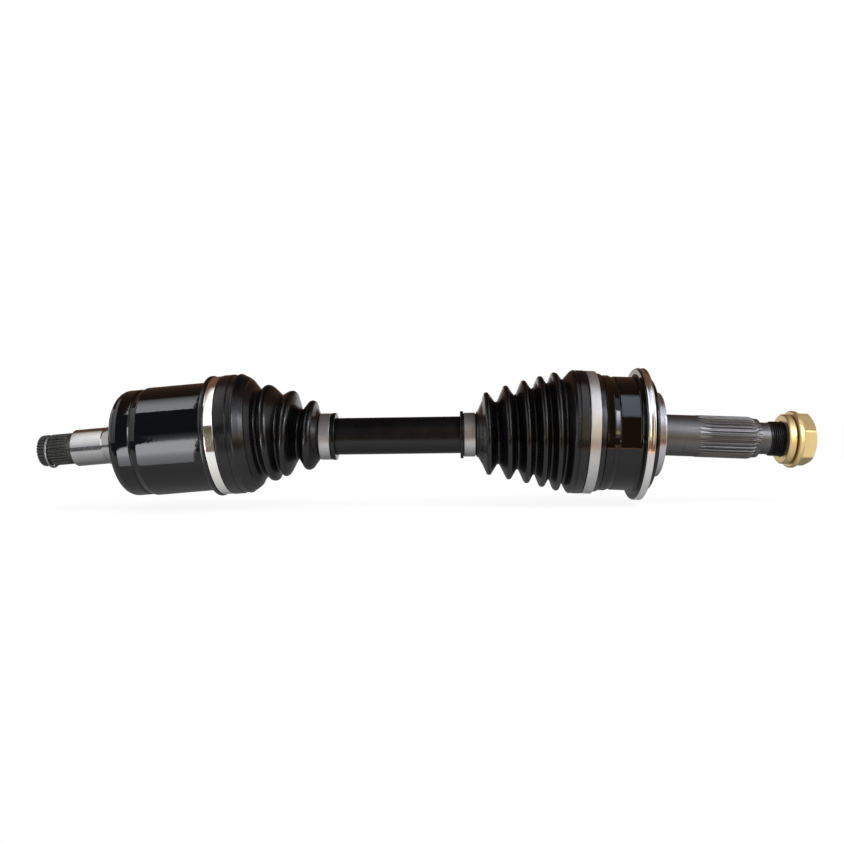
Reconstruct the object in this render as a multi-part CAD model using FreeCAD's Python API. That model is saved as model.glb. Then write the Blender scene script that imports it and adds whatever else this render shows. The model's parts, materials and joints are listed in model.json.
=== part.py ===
import FreeCAD, Part
import math
import os
from FreeCAD import Placement, Rotation, Vector

# Front drive axle of a four-wheel-drive car: a bar shaft with a ball joint at each end.
# The wheel end is a fixed joint (bell, cage, six balls and a spherical inner race), the
# differential end is a plunging joint whose cage and balls also slide along a straight bore.
#
# Frame: millimetres, +Z up. +X runs along the bar from the differential to the wheel, and the
# origin is on the bar's axis, midway between the two joint centres. Each joint is drawn straight,
# with its centre at the origin and +X pointing out of the bar's end, and is then turned by its
# share of the angle at which the axle hangs.

# ---- layout ----
joint_span = 322.0  # between the two joint centres
outer_pitch = 2.8  # how far the wheel end hangs at rest, degrees about Y
outer_yaw = -1.0  # and about Z
inner_pitch = -4.2  # the differential end
inner_yaw = 0.0

# ---- clearances ----
sphere_play = 0.1  # cage on race and in housing
soft_gap = 0.3  # rubber to metal
press_gap = 0.02  # pieces pressed or splined together
window_play = 0.04  # ball in its cage window, each side

# ---- shaft ----
bar_radius = 14.15
race_seat_radius = 12.0
race_shoulder_radius = 13.2
shaft_neck_radius = 12.2
neck_length = 66.0  # from a joint centre to the full bar
neck_taper = 6.0
shaft_tip = 15.6  # past the joint centre
ring_groove_depth = 1.1
ring_groove_width = 1.6

# ---- ball sets ----
ball_count = 6
race_half_width = 11.5
outer_ball_radius = 8.4
outer_pitch_radius = 30.0
outer_side_float = 1.8  # room for a ball to shift across its track
outer_cage_radius = 34.0
outer_cage_wall = 6.0
outer_cage_half_width = 15.0
inner_ball_radius = 8.0
inner_pitch_radius = 27.0
inner_side_float = 0.6
inner_cage_radius = 33.0
inner_cage_wall = 7.0
inner_cage_half_width = 12.5
track_play = 0.3

# ---- bell of the fixed joint ----
bell_mouth = -18.5
bell_radius = 43.2
bell_seat_radius = bell_radius - 0.7  # under the boot
bell_lip_radius = bell_radius + 0.7
bell_lip_start = -6.0
bell_lip_end = -0.4
bell_groove_end = 3.9
bell_groove_radius = bell_radius - 0.6
bell_floor = 28.0  # flat bottom of the cavity
bell_flange = 20.1
bell_flange_radius = bell_radius + 6.3
bell_flange_rim = 1.1
flare_round = 6.4
deflector_radius = bell_flange_radius + 0.6
deflector_width = 5.3
deflector_seat_radius = bell_radius - 0.3
deflector_rim = 1.6
bell_back = 31.3
hub_shoulder_radius = 32.0
hub_shoulder_end = 38.7

# ---- wheel stub ----
hub_journal_radius = 15.65
hub_journal_end = 67.3
hub_spline_teeth = 30
hub_spline_radius = 15.9
hub_spline_depth = 1.35
hub_spline_end = 112.4
hub_spline_lead = 5.5  # its end is domed over this length
hub_spline_drop = 3.0  # and falls by this much
spline_runout = 8.0
stub_neck_radius = 12.0
thread_start = 120.9
thread_radius = 13.0
thread_end = 149.2
washer_start = 130.7
washer_radius = 18.7
washer_width = 5.3
washer_chamfer = 0.8  # on the hub side
nut_gap = 0.7  # washer to nut
nut_flange_radius = 21.4
nut_flange_width = 3.8
nut_across_flats = 35.0
nut_height = 14.2
nut_crown_height = 2.6  # its outer end is turned down over this length
nut_crown_radius = 16.5
nut_corner_phase = 19.7  # from the horizontal, towards the viewer
thread_play = 0.05

# ---- housing of the plunging joint ----
tulip_mouth = -37.0
tulip_radius = 41.9
tulip_seat_radius = tulip_radius - 0.7
tulip_seat_end = -22.2
tulip_bore_floor = 34.0
tulip_track_floor = 32.5
tulip_mouth_depth = 5.4
tulip_mouth_flare = 3.0
tulip_ramp_start = 25.6
tulip_notch = 30.3
tulip_notch_radius = tulip_radius - 1.8
tulip_band_radius = tulip_radius - 1.0
tulip_end = 47.0
tulip_end_round = 13.0
tulip_end_rise = 3.2  # the end face is a shallow cone
collar_radius = 18.8
collar_start = 53.0
collar_width = 2.0
collar_neck_depth = 1.0
collar_taper_radius = 17.1  # from here the stub tapers to its journal
snap_ring_place = -30.2
snap_wire_radius = 1.0

# ---- differential stub ----
diff_journal_radius = 14.2
diff_journal_start = 62.8
diff_journal_end = 87.0
diff_step_radius = 11.9
diff_spline_start = 91.3
diff_spline_end = 115.1
diff_spline_teeth = 27
diff_spline_radius = 12.1
diff_spline_depth = 1.1
diff_spline_round = 1.6
clip_place = 107.5
clip_groove_radius = 10.0
clip_groove_width = 2.4
clip_wire_radius = 0.9
clip_mean_radius = 12.0
clip_drop = 1.05  # it hangs on the groove's floor
clip_opening = 50.0

# ---- boots and clamps ----
boot_wall = 2.2
clamp_wall = 0.8
ear_height = 3.2
ear_width = 5.0
ear_turn = 95.0  # from the top round to the far side

outer_cuff_start = -110.6
outer_cuff_lip_radius = bar_radius + 3.85
outer_cuff_lip_width = 3.4
outer_small_clamp_width = 6.9
outer_small_clamp_radius = bar_radius + 2.75
outer_fold_count = 5
outer_first_fold = -90.3
outer_first_fold_radius = 33.2
outer_fold_pitch = 15.3
outer_fold_shrink = 0.885  # each pitch to the one before
outer_fold_rise = 4.0  # radius gained by the second fold
outer_fold_ease = 0.4  # and how much less each later one gains
outer_fold_depth = 9.6
outer_fold_depth_loss = 0.6
outer_fold_leans = (-1.4, -1.3, -1.0, -0.2, 0.0)  # degrees about Y, as the rubber has set
outer_collar_start = -27.6
outer_collar_radius = bell_seat_radius + 4.5
outer_large_clamp_start = -18.0
outer_large_clamp_width = 7.4
outer_large_clamp_radius = bell_seat_radius + 4.3
outer_lip_radius = bell_seat_radius + 2.3

inner_cuff_start = -116.4
inner_cuff_lip_radius = bar_radius + 4.05
inner_cuff_lip_width = 3.8
inner_small_clamp_width = 6.2
inner_small_clamp_radius = bar_radius + 3.75
inner_folds = ((-97.1, 28.4), (-80.9, 33.3), (-67.1, 37.4))  # crests, from the small end
inner_valleys = ((-88.5, bar_radius + 4.85), (-74.2, 29.7), (-60.0, 33.1))  # after each crest
inner_fold_leans = (4.3, 5.3, -3.3)
inner_shoulder_depth = 9.4  # of the last flank, below the collar
inner_collar_start = -51.4
inner_collar_radius = tulip_seat_radius + 4.9
inner_large_clamp_start = -33.3
inner_large_clamp_width = 6.9
inner_large_clamp_radius = tulip_seat_radius + 4.5
inner_lip_radius = tulip_seat_radius + 3.4

origin = Vector(0, 0, 0)
x_axis = Vector(1, 0, 0)
y_axis = Vector(0, 1, 0)
z_axis = Vector(0, 0, 1)


class JointFrame:
    """Where one joint sits on the bar, which way it points and how it hangs at rest."""

    def __init__(self, centre_x, facing, pitch, yaw):
        self.centre = Vector(centre_x, 0, 0)
        self.facing = facing
        self.pitch = pitch
        self.yaw = yaw

    def turn(self, first_yaw, pitch, last_yaw):
        """Placement after the given shares of the rest angle, in the order the joint bends."""
        rotation = Rotation(z_axis, self.yaw * first_yaw)
        rotation = rotation.multiply(Rotation(y_axis, self.pitch * pitch))
        rotation = rotation.multiply(Rotation(z_axis, self.yaw * last_yaw))
        return Placement(self.centre, rotation.multiply(Rotation(z_axis, self.facing)))

    def bend(self, share):
        """Placement after one share of the whole rest angle."""
        return self.turn(share / 2, share, share / 2)

    def boot_ring(self, x, share, lean=None):
        """Placement of one ring of a boot, which follows the bend or has a lean of its own."""
        bent = self.bend(share)
        if lean is None:
            return Placement(bent.multVec(Vector(x, 0, 0)), bent.Rotation)
        rotation = Rotation(z_axis, self.yaw * share).multiply(Rotation(y_axis, lean))
        return Placement(bent.multVec(Vector(x, 0, 0)), rotation.multiply(Rotation(z_axis, self.facing)))

    def housing(self):
        return self.turn(0.5, 1, 0.5)

    def cage(self):
        return self.turn(0.5, 0.5, 0)

    def shaft(self):
        return self.turn(0, 0, 0)

    def ball_at_back(self):
        """The ball on the +Y side, which turns with the first half of the yaw alone."""
        return self.turn(0.5, 0, 0)

    def ball_at_front(self):
        return self.turn(0.5, 1, 0)


outer = JointFrame(joint_span / 2, 0, outer_pitch, outer_yaw)
inner = JointFrame(-joint_span / 2, 180, inner_pitch, inner_yaw)


# ---- general shapes ----


def rounded_wire(corners):
    """Closed wire in the XY plane through (x, y) or (x, y, rounding) corners."""
    points = [Vector(corner[0], corner[1], 0) for corner in corners]
    roundings = [corner[2] if len(corner) > 2 else 0 for corner in corners]
    edges = []
    stretches = []
    for index, point in enumerate(points):
        to_last = (points[index - 1] - point).normalize()
        to_next = (points[(index + 1) % len(points)] - point).normalize()
        half = to_last.getAngle(to_next) / 2
        trim = roundings[index] / math.tan(half)
        enter = point + to_last * trim
        leave = point + to_next * trim
        if roundings[index] > 0:
            inward = (to_last + to_next).normalize()
            middle = point + inward * (roundings[index] / math.sin(half) - roundings[index])
            stretches.append((enter, leave, Part.Arc(enter, middle, leave).toShape()))
        else:
            stretches.append((enter, leave, None))
    for index, (enter, leave, arc) in enumerate(stretches):
        if arc:
            edges.append(arc)
        following = stretches[(index + 1) % len(stretches)][0]
        if leave.distanceToPoint(following) > 1e-6:
            edges.append(Part.makeLine(leave, following))
    return Part.Wire(edges)


def turned(corners):
    """Solid of revolution about X from an (x, radius, rounding) outline."""
    return Part.Face(rounded_wire(corners)).revolve(origin, x_axis, 360)


def rod(start, end, radius):
    """Plain cylinder along X."""
    return Part.makeCylinder(radius, end - start, Vector(start, 0, 0), x_axis)


def tube(start, end, inside, outside):
    return rod(start, end, outside).cut(rod(start - 1, end + 1, inside))


def ball_about_x(radius):
    """Sphere at the origin with its poles on X, where the pieces made from it are bored."""
    return Part.makeSphere(radius, origin, x_axis)


def around(shape, count):
    """Copies of a shape, evenly spaced about X."""
    copies = []
    for index in range(count):
        copy = shape.copy()
        copy.rotate(origin, x_axis, index * 360 / count)
        copies.append(copy)
    return copies


def toothed_rod(teeth, tip_radius, depth, start, end):
    """Straight involute-like teeth: a prism with trapezoid teeth about X."""
    root_radius = tip_radius - depth
    over_tip = tip_radius * 1.02
    points = []
    for tooth in range(teeth):
        centre = tooth * 2 * math.pi / teeth
        pitch = 2 * math.pi / teeth
        for radius, share in ((root_radius, -0.36), (over_tip, -0.15), (over_tip, 0.15), (root_radius, 0.36)):
            angle = centre + share * pitch
            points.append(Vector(start, radius * math.cos(angle), radius * math.sin(angle)))
    outline = Part.makePolygon(points + points[:1])
    return Part.Face(outline).extrude(Vector(end - start, 0, 0))


def spline(teeth, tip_radius, depth, start, end, free_end, runout):
    """Toothed length whose grooves rise out of the shaft at the start.

    free_end is the outline of its domed end, from the teeth's tips inwards.
    """
    envelope = turned([(start, 0), (start, tip_radius)] + free_end + [(end, 0)])
    teeth_solid = toothed_rod(teeth, tip_radius, depth, start, end).common(envelope)
    root_radius = tip_radius - depth
    ramp = Part.makeCone(tip_radius, root_radius, runout, Vector(start, 0, 0), x_axis)
    return teeth_solid.fuse(ramp.common(envelope)).removeSplitter()


# ---- ball sets ----


def track_section(pitch_radius, ball_radius, side_float):
    """Face across one track, in the YZ plane on the +Z side: a ball's circle widened sideways."""
    radius = ball_radius + track_play
    top = pitch_radius + radius
    low = pitch_radius - radius
    right_top = Vector(0, side_float, top)
    right_low = Vector(0, side_float, low)
    left_low = Vector(0, -side_float, low)
    left_top = Vector(0, -side_float, top)
    right_arc = Part.Arc(right_top, Vector(0, side_float + radius, pitch_radius), right_low)
    left_arc = Part.Arc(left_low, Vector(0, -side_float - radius, pitch_radius), left_top)
    edges = [
        right_arc.toShape(),
        Part.makeLine(right_low, left_low),
        left_arc.toShape(),
        Part.makeLine(left_top, right_top),
    ]
    return Part.Face(Part.Wire(edges))


def curved_tracks(pitch_radius, ball_radius, side_float, first_angle, last_angle):
    """Cutters for tracks that circle the joint centre, one for each ball."""
    section = track_section(pitch_radius, ball_radius, side_float)
    section.rotate(origin, y_axis, first_angle)
    cutter = section.revolve(origin, y_axis, last_angle - first_angle)
    cutter.rotate(origin, x_axis, 90)
    return around(cutter, ball_count)


def straight_tracks(pitch_radius, ball_radius, side_float, start, end):
    section = track_section(pitch_radius, ball_radius, side_float)
    section.translate(Vector(start, 0, 0))
    cutter = section.extrude(Vector(end - start, 0, 0))
    cutter.rotate(origin, x_axis, 90)
    return around(cutter, ball_count)


def inner_race(sphere_radius, pitch_radius, ball_radius, side_float):
    """Spherical race with its tracks, bored for the shaft's splined seat."""
    body = ball_about_x(sphere_radius).common(rod(-race_half_width, race_half_width, sphere_radius))
    body = body.cut(rod(-sphere_radius, sphere_radius, race_seat_radius + press_gap))
    return body.cut(curved_tracks(pitch_radius, ball_radius, side_float, -80, 80))


def cage(radius, wall, half_width, ball_radius, pitch_radius, side_float):
    """Spherical ring with a rounded window for each ball."""
    body = ball_about_x(radius).cut(ball_about_x(radius - wall))
    body = body.common(rod(-half_width, half_width, radius + 1))
    window_half = ball_radius + window_play
    reach = ball_radius + side_float
    window = Part.makeBox(2 * window_half, 2 * reach, radius, Vector(-window_half, -reach, 0))
    posts = [edge for edge in window.Edges if abs(edge.tangentAt(edge.FirstParameter).z) > 0.99]
    window = window.makeFillet(0.45 * ball_radius, posts)
    window.rotate(origin, x_axis, 90)
    return body.cut(around(window, ball_count))


def balls(radius, pitch_radius, places):
    """Balls at the given sixths of a turn, counted from the +Y side."""
    spheres = []
    for place in places:
        angle = place * 2 * math.pi / ball_count
        centre = Vector(0, pitch_radius * math.cos(angle), pitch_radius * math.sin(angle))
        spheres.append(Part.makeSphere(radius, centre))
    return Part.makeCompound(spheres)


def retaining_ring(start, inside, outside, width, opening):
    """Flat open ring in the shaft's groove, its gap at the top."""
    ring = tube(start, start + width, inside, outside)
    gap = Part.makeBox(3 * width, opening, outside + 1, Vector(start - width, -opening / 2, 0))
    return ring.cut(gap)


def wire_ring(place, mean_radius, wire_radius, opening):
    """Round wire bent to an open ring about X, its gap at the top."""
    section = Part.Face(Part.Wire(Part.makeCircle(wire_radius, Vector(place, 0, mean_radius), y_axis)))
    section.rotate(origin, x_axis, opening / 2)
    return section.revolve(origin, x_axis, 360 - opening)


# ---- shaft ----


def shaft_end_outline():
    """Half of the shaft's outline, from mid-bar to the tip, about one joint centre at x = 0."""
    groove = race_half_width + 0.3
    floor = race_seat_radius - ring_groove_depth
    return [
        (-neck_length, bar_radius, 2.0),
        (-neck_length + neck_taper, shaft_neck_radius, 2.0),
        (-race_half_width - 5.5, shaft_neck_radius, 0.8),
        (-race_half_width - 4.5, race_shoulder_radius),
        (-race_half_width - press_gap, race_shoulder_radius),
        (-race_half_width - press_gap, race_seat_radius),
        (groove, race_seat_radius),
        (groove, floor),
        (groove + ring_groove_width, floor),
        (groove + ring_groove_width, race_seat_radius),
        (shaft_tip, race_seat_radius, 0.9),
        (shaft_tip, 0),
    ]


def axle_shaft():
    half_span = joint_span / 2
    right = [(corner[0] + half_span,) + corner[1:] for corner in shaft_end_outline()]
    left = [(-corner[0],) + corner[1:] for corner in reversed(right)]
    return turned(left + right)


# ---- bell, deflector and wheel stub ----


def bell_outline():
    back_face = bell_back + 1.4
    root_lead = hub_spline_lead * (1 - hub_spline_depth / hub_spline_drop)
    return [
        (bell_mouth, 0),
        (bell_mouth, bell_seat_radius, 0.8),
        (bell_lip_start, bell_seat_radius),
        (bell_lip_start, bell_lip_radius, 0.5),
        (bell_lip_end, bell_lip_radius, 0.5),
        (bell_lip_end + 0.9, bell_groove_radius),
        (bell_groove_end - 0.6, bell_groove_radius),
        (bell_groove_end, bell_radius),
        (bell_flange, bell_radius, flare_round),
        (bell_flange, bell_flange_radius, 0.4),
        (bell_flange + bell_flange_rim, bell_flange_radius),
        (bell_flange + bell_flange_rim, deflector_seat_radius),
        (bell_back, deflector_seat_radius, 1.8),
        (back_face, hub_shoulder_radius),
        (hub_shoulder_end, hub_shoulder_radius, 0.6),
        (hub_shoulder_end, hub_journal_radius, 1.5),
        (hub_journal_end, hub_journal_radius),
        (hub_journal_end, hub_spline_radius - hub_spline_depth),
        (hub_spline_end - root_lead, hub_spline_radius - hub_spline_depth, 1.0),
        (hub_spline_end, hub_spline_radius - hub_spline_drop),
        (hub_spline_end + 0.6, stub_neck_radius, 0.6),
        (thread_start - 1.0, stub_neck_radius),
        (thread_start, thread_radius),
        (thread_end, thread_radius, 1.2),
        (thread_end, 0),
    ]


def bell_cavity():
    """Ball-shaped hollow with a flat floor and a mouth that opens wide enough for the shaft."""
    socket = ball_about_x(outer_cage_radius + sphere_play)
    socket = socket.common(rod(-outer_cage_radius * 2, bell_floor, outer_cage_radius * 2))
    mouth_depth = 7.0
    inside = math.sqrt(outer_cage_radius**2 - (bell_mouth + mouth_depth) ** 2)
    mouth = Part.makeCone(inside + 4.6, inside, mouth_depth, Vector(bell_mouth, 0, 0), x_axis)
    return socket.fuse(mouth)


def outer_joint_housing():
    free_end = [
        (hub_spline_end - hub_spline_lead, hub_spline_radius, 6.0),
        (hub_spline_end, hub_spline_radius - hub_spline_drop),
    ]
    teeth = spline(
        hub_spline_teeth,
        hub_spline_radius,
        hub_spline_depth,
        hub_journal_end,
        hub_spline_end,
        free_end,
        spline_runout,
    )
    cutters = [bell_cavity()]
    cutters += curved_tracks(outer_pitch_radius, outer_ball_radius, outer_side_float, -90, 42)
    return turned(bell_outline()).fuse(teeth).removeSplitter().cut(cutters)


def dust_deflector():
    """Pressed ring behind the bell's flange, with a hollow back."""
    start = bell_flange + bell_flange_rim
    end = start + deflector_width
    web = 1.6
    return turned(
        [
            (start, deflector_seat_radius + press_gap),
            (start, deflector_radius, 0.5),
            (end, deflector_radius, 0.5),
            (end, deflector_radius - deflector_rim),
            (start + web, deflector_radius - deflector_rim - 0.8, 0.6),
            (start + web, deflector_seat_radius + 2.0, 0.6),
            (end - 0.6, deflector_seat_radius + 1.6),
            (end - 0.6, deflector_seat_radius + press_gap),
        ]
    )


def hub_washer():
    return turned(
        [
            (washer_start, thread_radius + thread_play),
            (washer_start, washer_radius - washer_chamfer),
            (washer_start + washer_chamfer, washer_radius),
            (washer_start + washer_width, washer_radius, 0.6),
            (washer_start + washer_width, thread_radius + thread_play),
        ]
    )


def hub_nut():
    """Hexagon nut with a round flange and a crowned outer end."""
    start = washer_start + washer_width + nut_gap
    end = start + nut_height
    corner_radius = nut_across_flats / math.sqrt(3)
    corners = []
    for index in range(7):
        angle = math.radians(nut_corner_phase + 180 + 60 * index)
        corners.append(Vector(start, corner_radius * math.cos(angle), -corner_radius * math.sin(angle)))
    hexagon = Part.Face(Part.makePolygon(corners)).extrude(Vector(nut_height, 0, 0))
    clear_radius = corner_radius + 1
    crown = turned(
        [
            (start, 0),
            (start, clear_radius),
            (end - nut_crown_height, clear_radius),
            (end, nut_crown_radius),
            (end, 0),
        ]
    )
    flange = turned(
        [
            (start, 0),
            (start, nut_flange_radius, 0.8),
            (start + nut_flange_width, nut_flange_radius, 1.4),
            (start + nut_flange_width, 0),
        ]
    )
    bore = rod(start - 1, end + 1, thread_radius + thread_play)
    return hexagon.common(crown).fuse(flange).removeSplitter().cut(bore)


# ---- housing of the plunging joint and differential stub ----


def tulip_outline():
    neck_radius = collar_radius - collar_neck_depth
    collar_end = collar_start + collar_width
    return [
        (tulip_mouth, 0),
        (tulip_mouth, tulip_seat_radius, 0.8),
        (tulip_seat_end, tulip_seat_radius),
        (tulip_seat_end + 0.5, tulip_radius),
        (tulip_ramp_start, tulip_radius, 3.0),
        (tulip_notch, tulip_notch_radius, 0.3),
        (tulip_notch + 0.8, tulip_band_radius, 0.4),
        (tulip_end, tulip_band_radius, tulip_end_round),
        (tulip_end + tulip_end_rise, neck_radius, 2.0),
        (collar_start, neck_radius),
        (collar_start, collar_radius, 0.4),
        (collar_end, collar_radius, 0.6),
        (collar_end + 0.3, collar_taper_radius, 0.2),
        (diff_journal_start, diff_journal_radius, 5.0),
        (diff_journal_end, diff_journal_radius),
        (diff_journal_end + 1.7, diff_step_radius + 0.3),
        (diff_spline_start - 0.6, diff_step_radius),
        (diff_spline_start, diff_spline_radius - diff_spline_depth),
        (diff_spline_end - 1.0, diff_spline_radius - diff_spline_depth, 0.4),
        (diff_spline_end, 0.6 * diff_spline_radius),
        (diff_spline_end, 0),
    ]


def snap_ring_groove():
    bore_radius = inner_cage_radius + sphere_play
    return rod(snap_ring_place - 1.1, snap_ring_place + 1.1, bore_radius + 1.3)


def clip_groove():
    half = clip_groove_width / 2
    return tube(clip_place - half, clip_place + half, clip_groove_radius, diff_spline_radius + 2)


def inner_joint_housing():
    bore_radius = inner_cage_radius + sphere_play
    bore = rod(tulip_mouth - 1, tulip_bore_floor, bore_radius)
    chamfer = Part.makeCone(
        bore_radius + tulip_mouth_flare, bore_radius, tulip_mouth_depth, Vector(tulip_mouth, 0, 0), x_axis
    )
    teeth_end = diff_spline_end - 0.4
    teeth = spline(
        diff_spline_teeth,
        diff_spline_radius,
        diff_spline_depth,
        diff_spline_start,
        teeth_end,
        [(teeth_end, diff_spline_radius, diff_spline_round)],
        2.5,
    )
    cutters = [bore, chamfer, snap_ring_groove(), clip_groove()]
    cutters += straight_tracks(
        inner_pitch_radius, inner_ball_radius, inner_side_float, tulip_mouth - 1, tulip_track_floor
    )
    return turned(tulip_outline()).fuse(teeth).removeSplitter().cut(cutters)


def diff_circlip():
    """Wire ring on the spline's end, resting on the floor of its groove until it is driven home."""
    ring = wire_ring(clip_place, clip_mean_radius, clip_wire_radius, clip_opening)
    ring.translate(Vector(0, 0, -clip_drop))
    return ring


def housing_snap_ring():
    bore_radius = inner_cage_radius + sphere_play
    return wire_ring(snap_ring_place, bore_radius + 1.2 - snap_wire_radius, snap_wire_radius, 24.0)


# ---- boots and clamps ----


def ear_clamp(start, width, radius, ear_turn):
    """Band with one crimped ear. The ear stands at the top before it is turned about X."""
    band = tube(start, start + width, radius - clamp_wall, radius)
    half = ear_width / 2
    pinch = half * 0.55
    inset = width * 0.08
    foot = math.sqrt(radius**2 - half**2) - 0.3
    top = radius + ear_height
    outer_wall = [
        (half, foot),
        (pinch, radius + 0.9, 0.5),
        (half, top - 0.9, 0.6),
        (half * 0.75, top, 0.4),
        (-half * 0.75, top, 0.4),
        (-half, top - 0.9, 0.6),
        (-pinch, radius + 0.9, 0.5),
        (-half, foot),
    ]
    ear = Part.Face(rounded_wire(outer_wall)).extrude(Vector(0, 0, width - 2 * inset))
    ear.Placement = Placement(
        Vector(start + inset, 0, 0), Rotation(Vector(0, 1, 0), Vector(0, 0, 1), Vector(1, 0, 0), "ZXY")
    )
    clamp = band.fuse(ear).removeSplitter()
    clamp.rotate(origin, x_axis, ear_turn)
    return clamp


def ring_stack(frame, rings, first, last):
    """Closed solid through (x, radius) rings whose planes turn from the bar to the housing.

    A ring with a third value leans by that instead. first and last are the x places where the
    turn starts and ends.
    """
    wires = []
    for x, radius, *lean in rings:
        share = min(max((x - first) / (last - first), 0), 1)
        circle = Part.Wire(Part.makeCircle(radius, origin, x_axis))
        circle.Placement = frame.boot_ring(x, share, *lean).multiply(circle.Placement)
        wires.append(circle)
    return Part.makeLoft(wires, True, True)


def boot(frame, rings, inner_rings, first, last):
    return ring_stack(frame, rings, first, last).cut(ring_stack(frame, inner_rings, first, last))


def fold_rings(crests, valleys, leans, last_lean, crest_half=1.6, valley_half=1.0):
    """Rings of a bellows: each crest and each valley is a short flat.

    leans holds each crest's lean, and last_lean that of the collar after the last valley.
    """
    rings = []
    for index, (crest, valley) in enumerate(zip(crests, valleys)):
        lean = leans[index]
        following = (leans + (last_lean,))[index + 1]
        rings.append((crest[0] - crest_half, crest[1] - 0.8, lean))
        rings.append((crest[0], crest[1], lean))
        rings.append((crest[0] + crest_half, crest[1] - 0.8, lean))
        for side in (-valley_half, valley_half):
            rings.append((valley[0] + side, valley[1] + 0.4, (lean + following) / 2))
    return rings


def thinner(rings, amount, ends):
    """The same folds moved in by the wall, between two (x, radius) end rings."""
    return ends[:1] + [(x, radius - amount, lean) for x, radius, lean in rings] + ends[1:]


def outer_fold_places():
    """Crests and valleys of the wheel-side bellows, growing towards the bell."""
    crests = []
    valleys = []
    x = outer_first_fold
    pitch = outer_fold_pitch
    radius = outer_first_fold_radius
    for index in range(outer_fold_count):
        crests.append((x, radius))
        last = index == outer_fold_count - 1
        step = (outer_collar_start - x) * 0.9 if last else pitch
        valleys.append((x + step * 0.52, radius - outer_fold_depth + outer_fold_depth_loss * index))
        x += pitch
        pitch *= outer_fold_shrink
        radius += outer_fold_rise - outer_fold_ease * index
    return crests, valleys


def outer_boot():
    crests, valleys = outer_fold_places()
    folds = fold_rings(crests, valleys, outer_fold_leans, outer_pitch)
    clamp_start = outer_cuff_start + outer_cuff_lip_width
    clamp_end = clamp_start + outer_small_clamp_width
    cuff = outer_small_clamp_radius - clamp_wall - soft_gap
    band_start = outer_large_clamp_start - 0.4
    band_end = outer_large_clamp_start + outer_large_clamp_width + 0.4
    seat = outer_large_clamp_radius - clamp_wall - soft_gap
    rings = [
        (outer_cuff_start, outer_cuff_lip_radius - 0.5),
        (outer_cuff_start + 0.5, outer_cuff_lip_radius),
        (clamp_start - 0.9, outer_cuff_lip_radius),
        (clamp_start - 0.4, cuff),
        (clamp_end + 0.4, cuff),
        (clamp_end + 1.6, cuff + 1.4),
        (outer_first_fold - 5.6, cuff + 2.6),
    ]
    rings += folds
    rings += [
        (outer_collar_start, outer_collar_radius - 1.4),
        (outer_collar_start + 1.5, outer_collar_radius),
        (band_start - 0.4, outer_collar_radius),
        (band_start, seat),
        (band_end, seat),
        (band_end + 0.3, outer_lip_radius + 0.6),
        (bell_lip_start - soft_gap, outer_lip_radius),
    ]
    shaft_bore = bar_radius + soft_gap
    bell_bore = bell_seat_radius + soft_gap
    hollow = thinner(
        folds,
        boot_wall,
        [(outer_cuff_start - 1, shaft_bore), (bell_lip_start + 1, bell_bore)],
    )
    hollow.insert(1, (clamp_end + 1.5, shaft_bore))
    hollow.insert(-1, (outer_collar_start + 0.5, bell_bore - 1.0))
    hollow.insert(-1, (bell_mouth - 1.5, bell_bore))
    return boot(outer, rings, hollow, clamp_end, outer_collar_start)


def inner_boot():
    folds = fold_rings(inner_folds, inner_valleys, inner_fold_leans, inner_pitch)
    clamp_start = inner_cuff_start + inner_cuff_lip_width
    clamp_end = clamp_start + inner_small_clamp_width
    cuff = inner_small_clamp_radius - clamp_wall - soft_gap
    band_start = inner_large_clamp_start - 0.4
    band_end = inner_large_clamp_start + inner_large_clamp_width + 0.4
    seat = inner_large_clamp_radius - clamp_wall - soft_gap
    rings = [
        (inner_cuff_start, inner_cuff_lip_radius - 0.5),
        (inner_cuff_start + 0.5, inner_cuff_lip_radius),
        (clamp_start - 0.9, inner_cuff_lip_radius),
        (clamp_start - 0.4, cuff),
        (clamp_end + 0.6, cuff),
    ]
    rings += folds
    rings += [
        (inner_collar_start - 6.0, inner_collar_radius - inner_shoulder_depth),
        (inner_collar_start, inner_collar_radius - 2.8),
        (inner_collar_start + 4.0, inner_collar_radius),
        (band_start - 0.4, inner_collar_radius),
        (band_start, seat),
        (band_end, seat),
        (band_end + 0.4, inner_lip_radius + 0.5),
        (tulip_seat_end - soft_gap, inner_lip_radius),
    ]
    shaft_bore = bar_radius + soft_gap
    housing_bore = tulip_seat_radius + soft_gap
    hollow = thinner(
        folds,
        boot_wall,
        [(inner_cuff_start - 1, shaft_bore), (tulip_seat_end + 1, housing_bore)],
    )
    hollow.insert(1, (clamp_end + 1.0, shaft_bore))
    hollow.insert(-1, (inner_collar_start + 2.0, inner_collar_radius - 6.0))
    hollow.insert(-1, (tulip_mouth - 1.5, housing_bore))
    return boot(inner, rings, hollow, clamp_end, inner_collar_start)


# ---- the axle ----


def placed(shape, placement):
    shape.Placement = placement.multiply(shape.Placement)
    return shape


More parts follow.
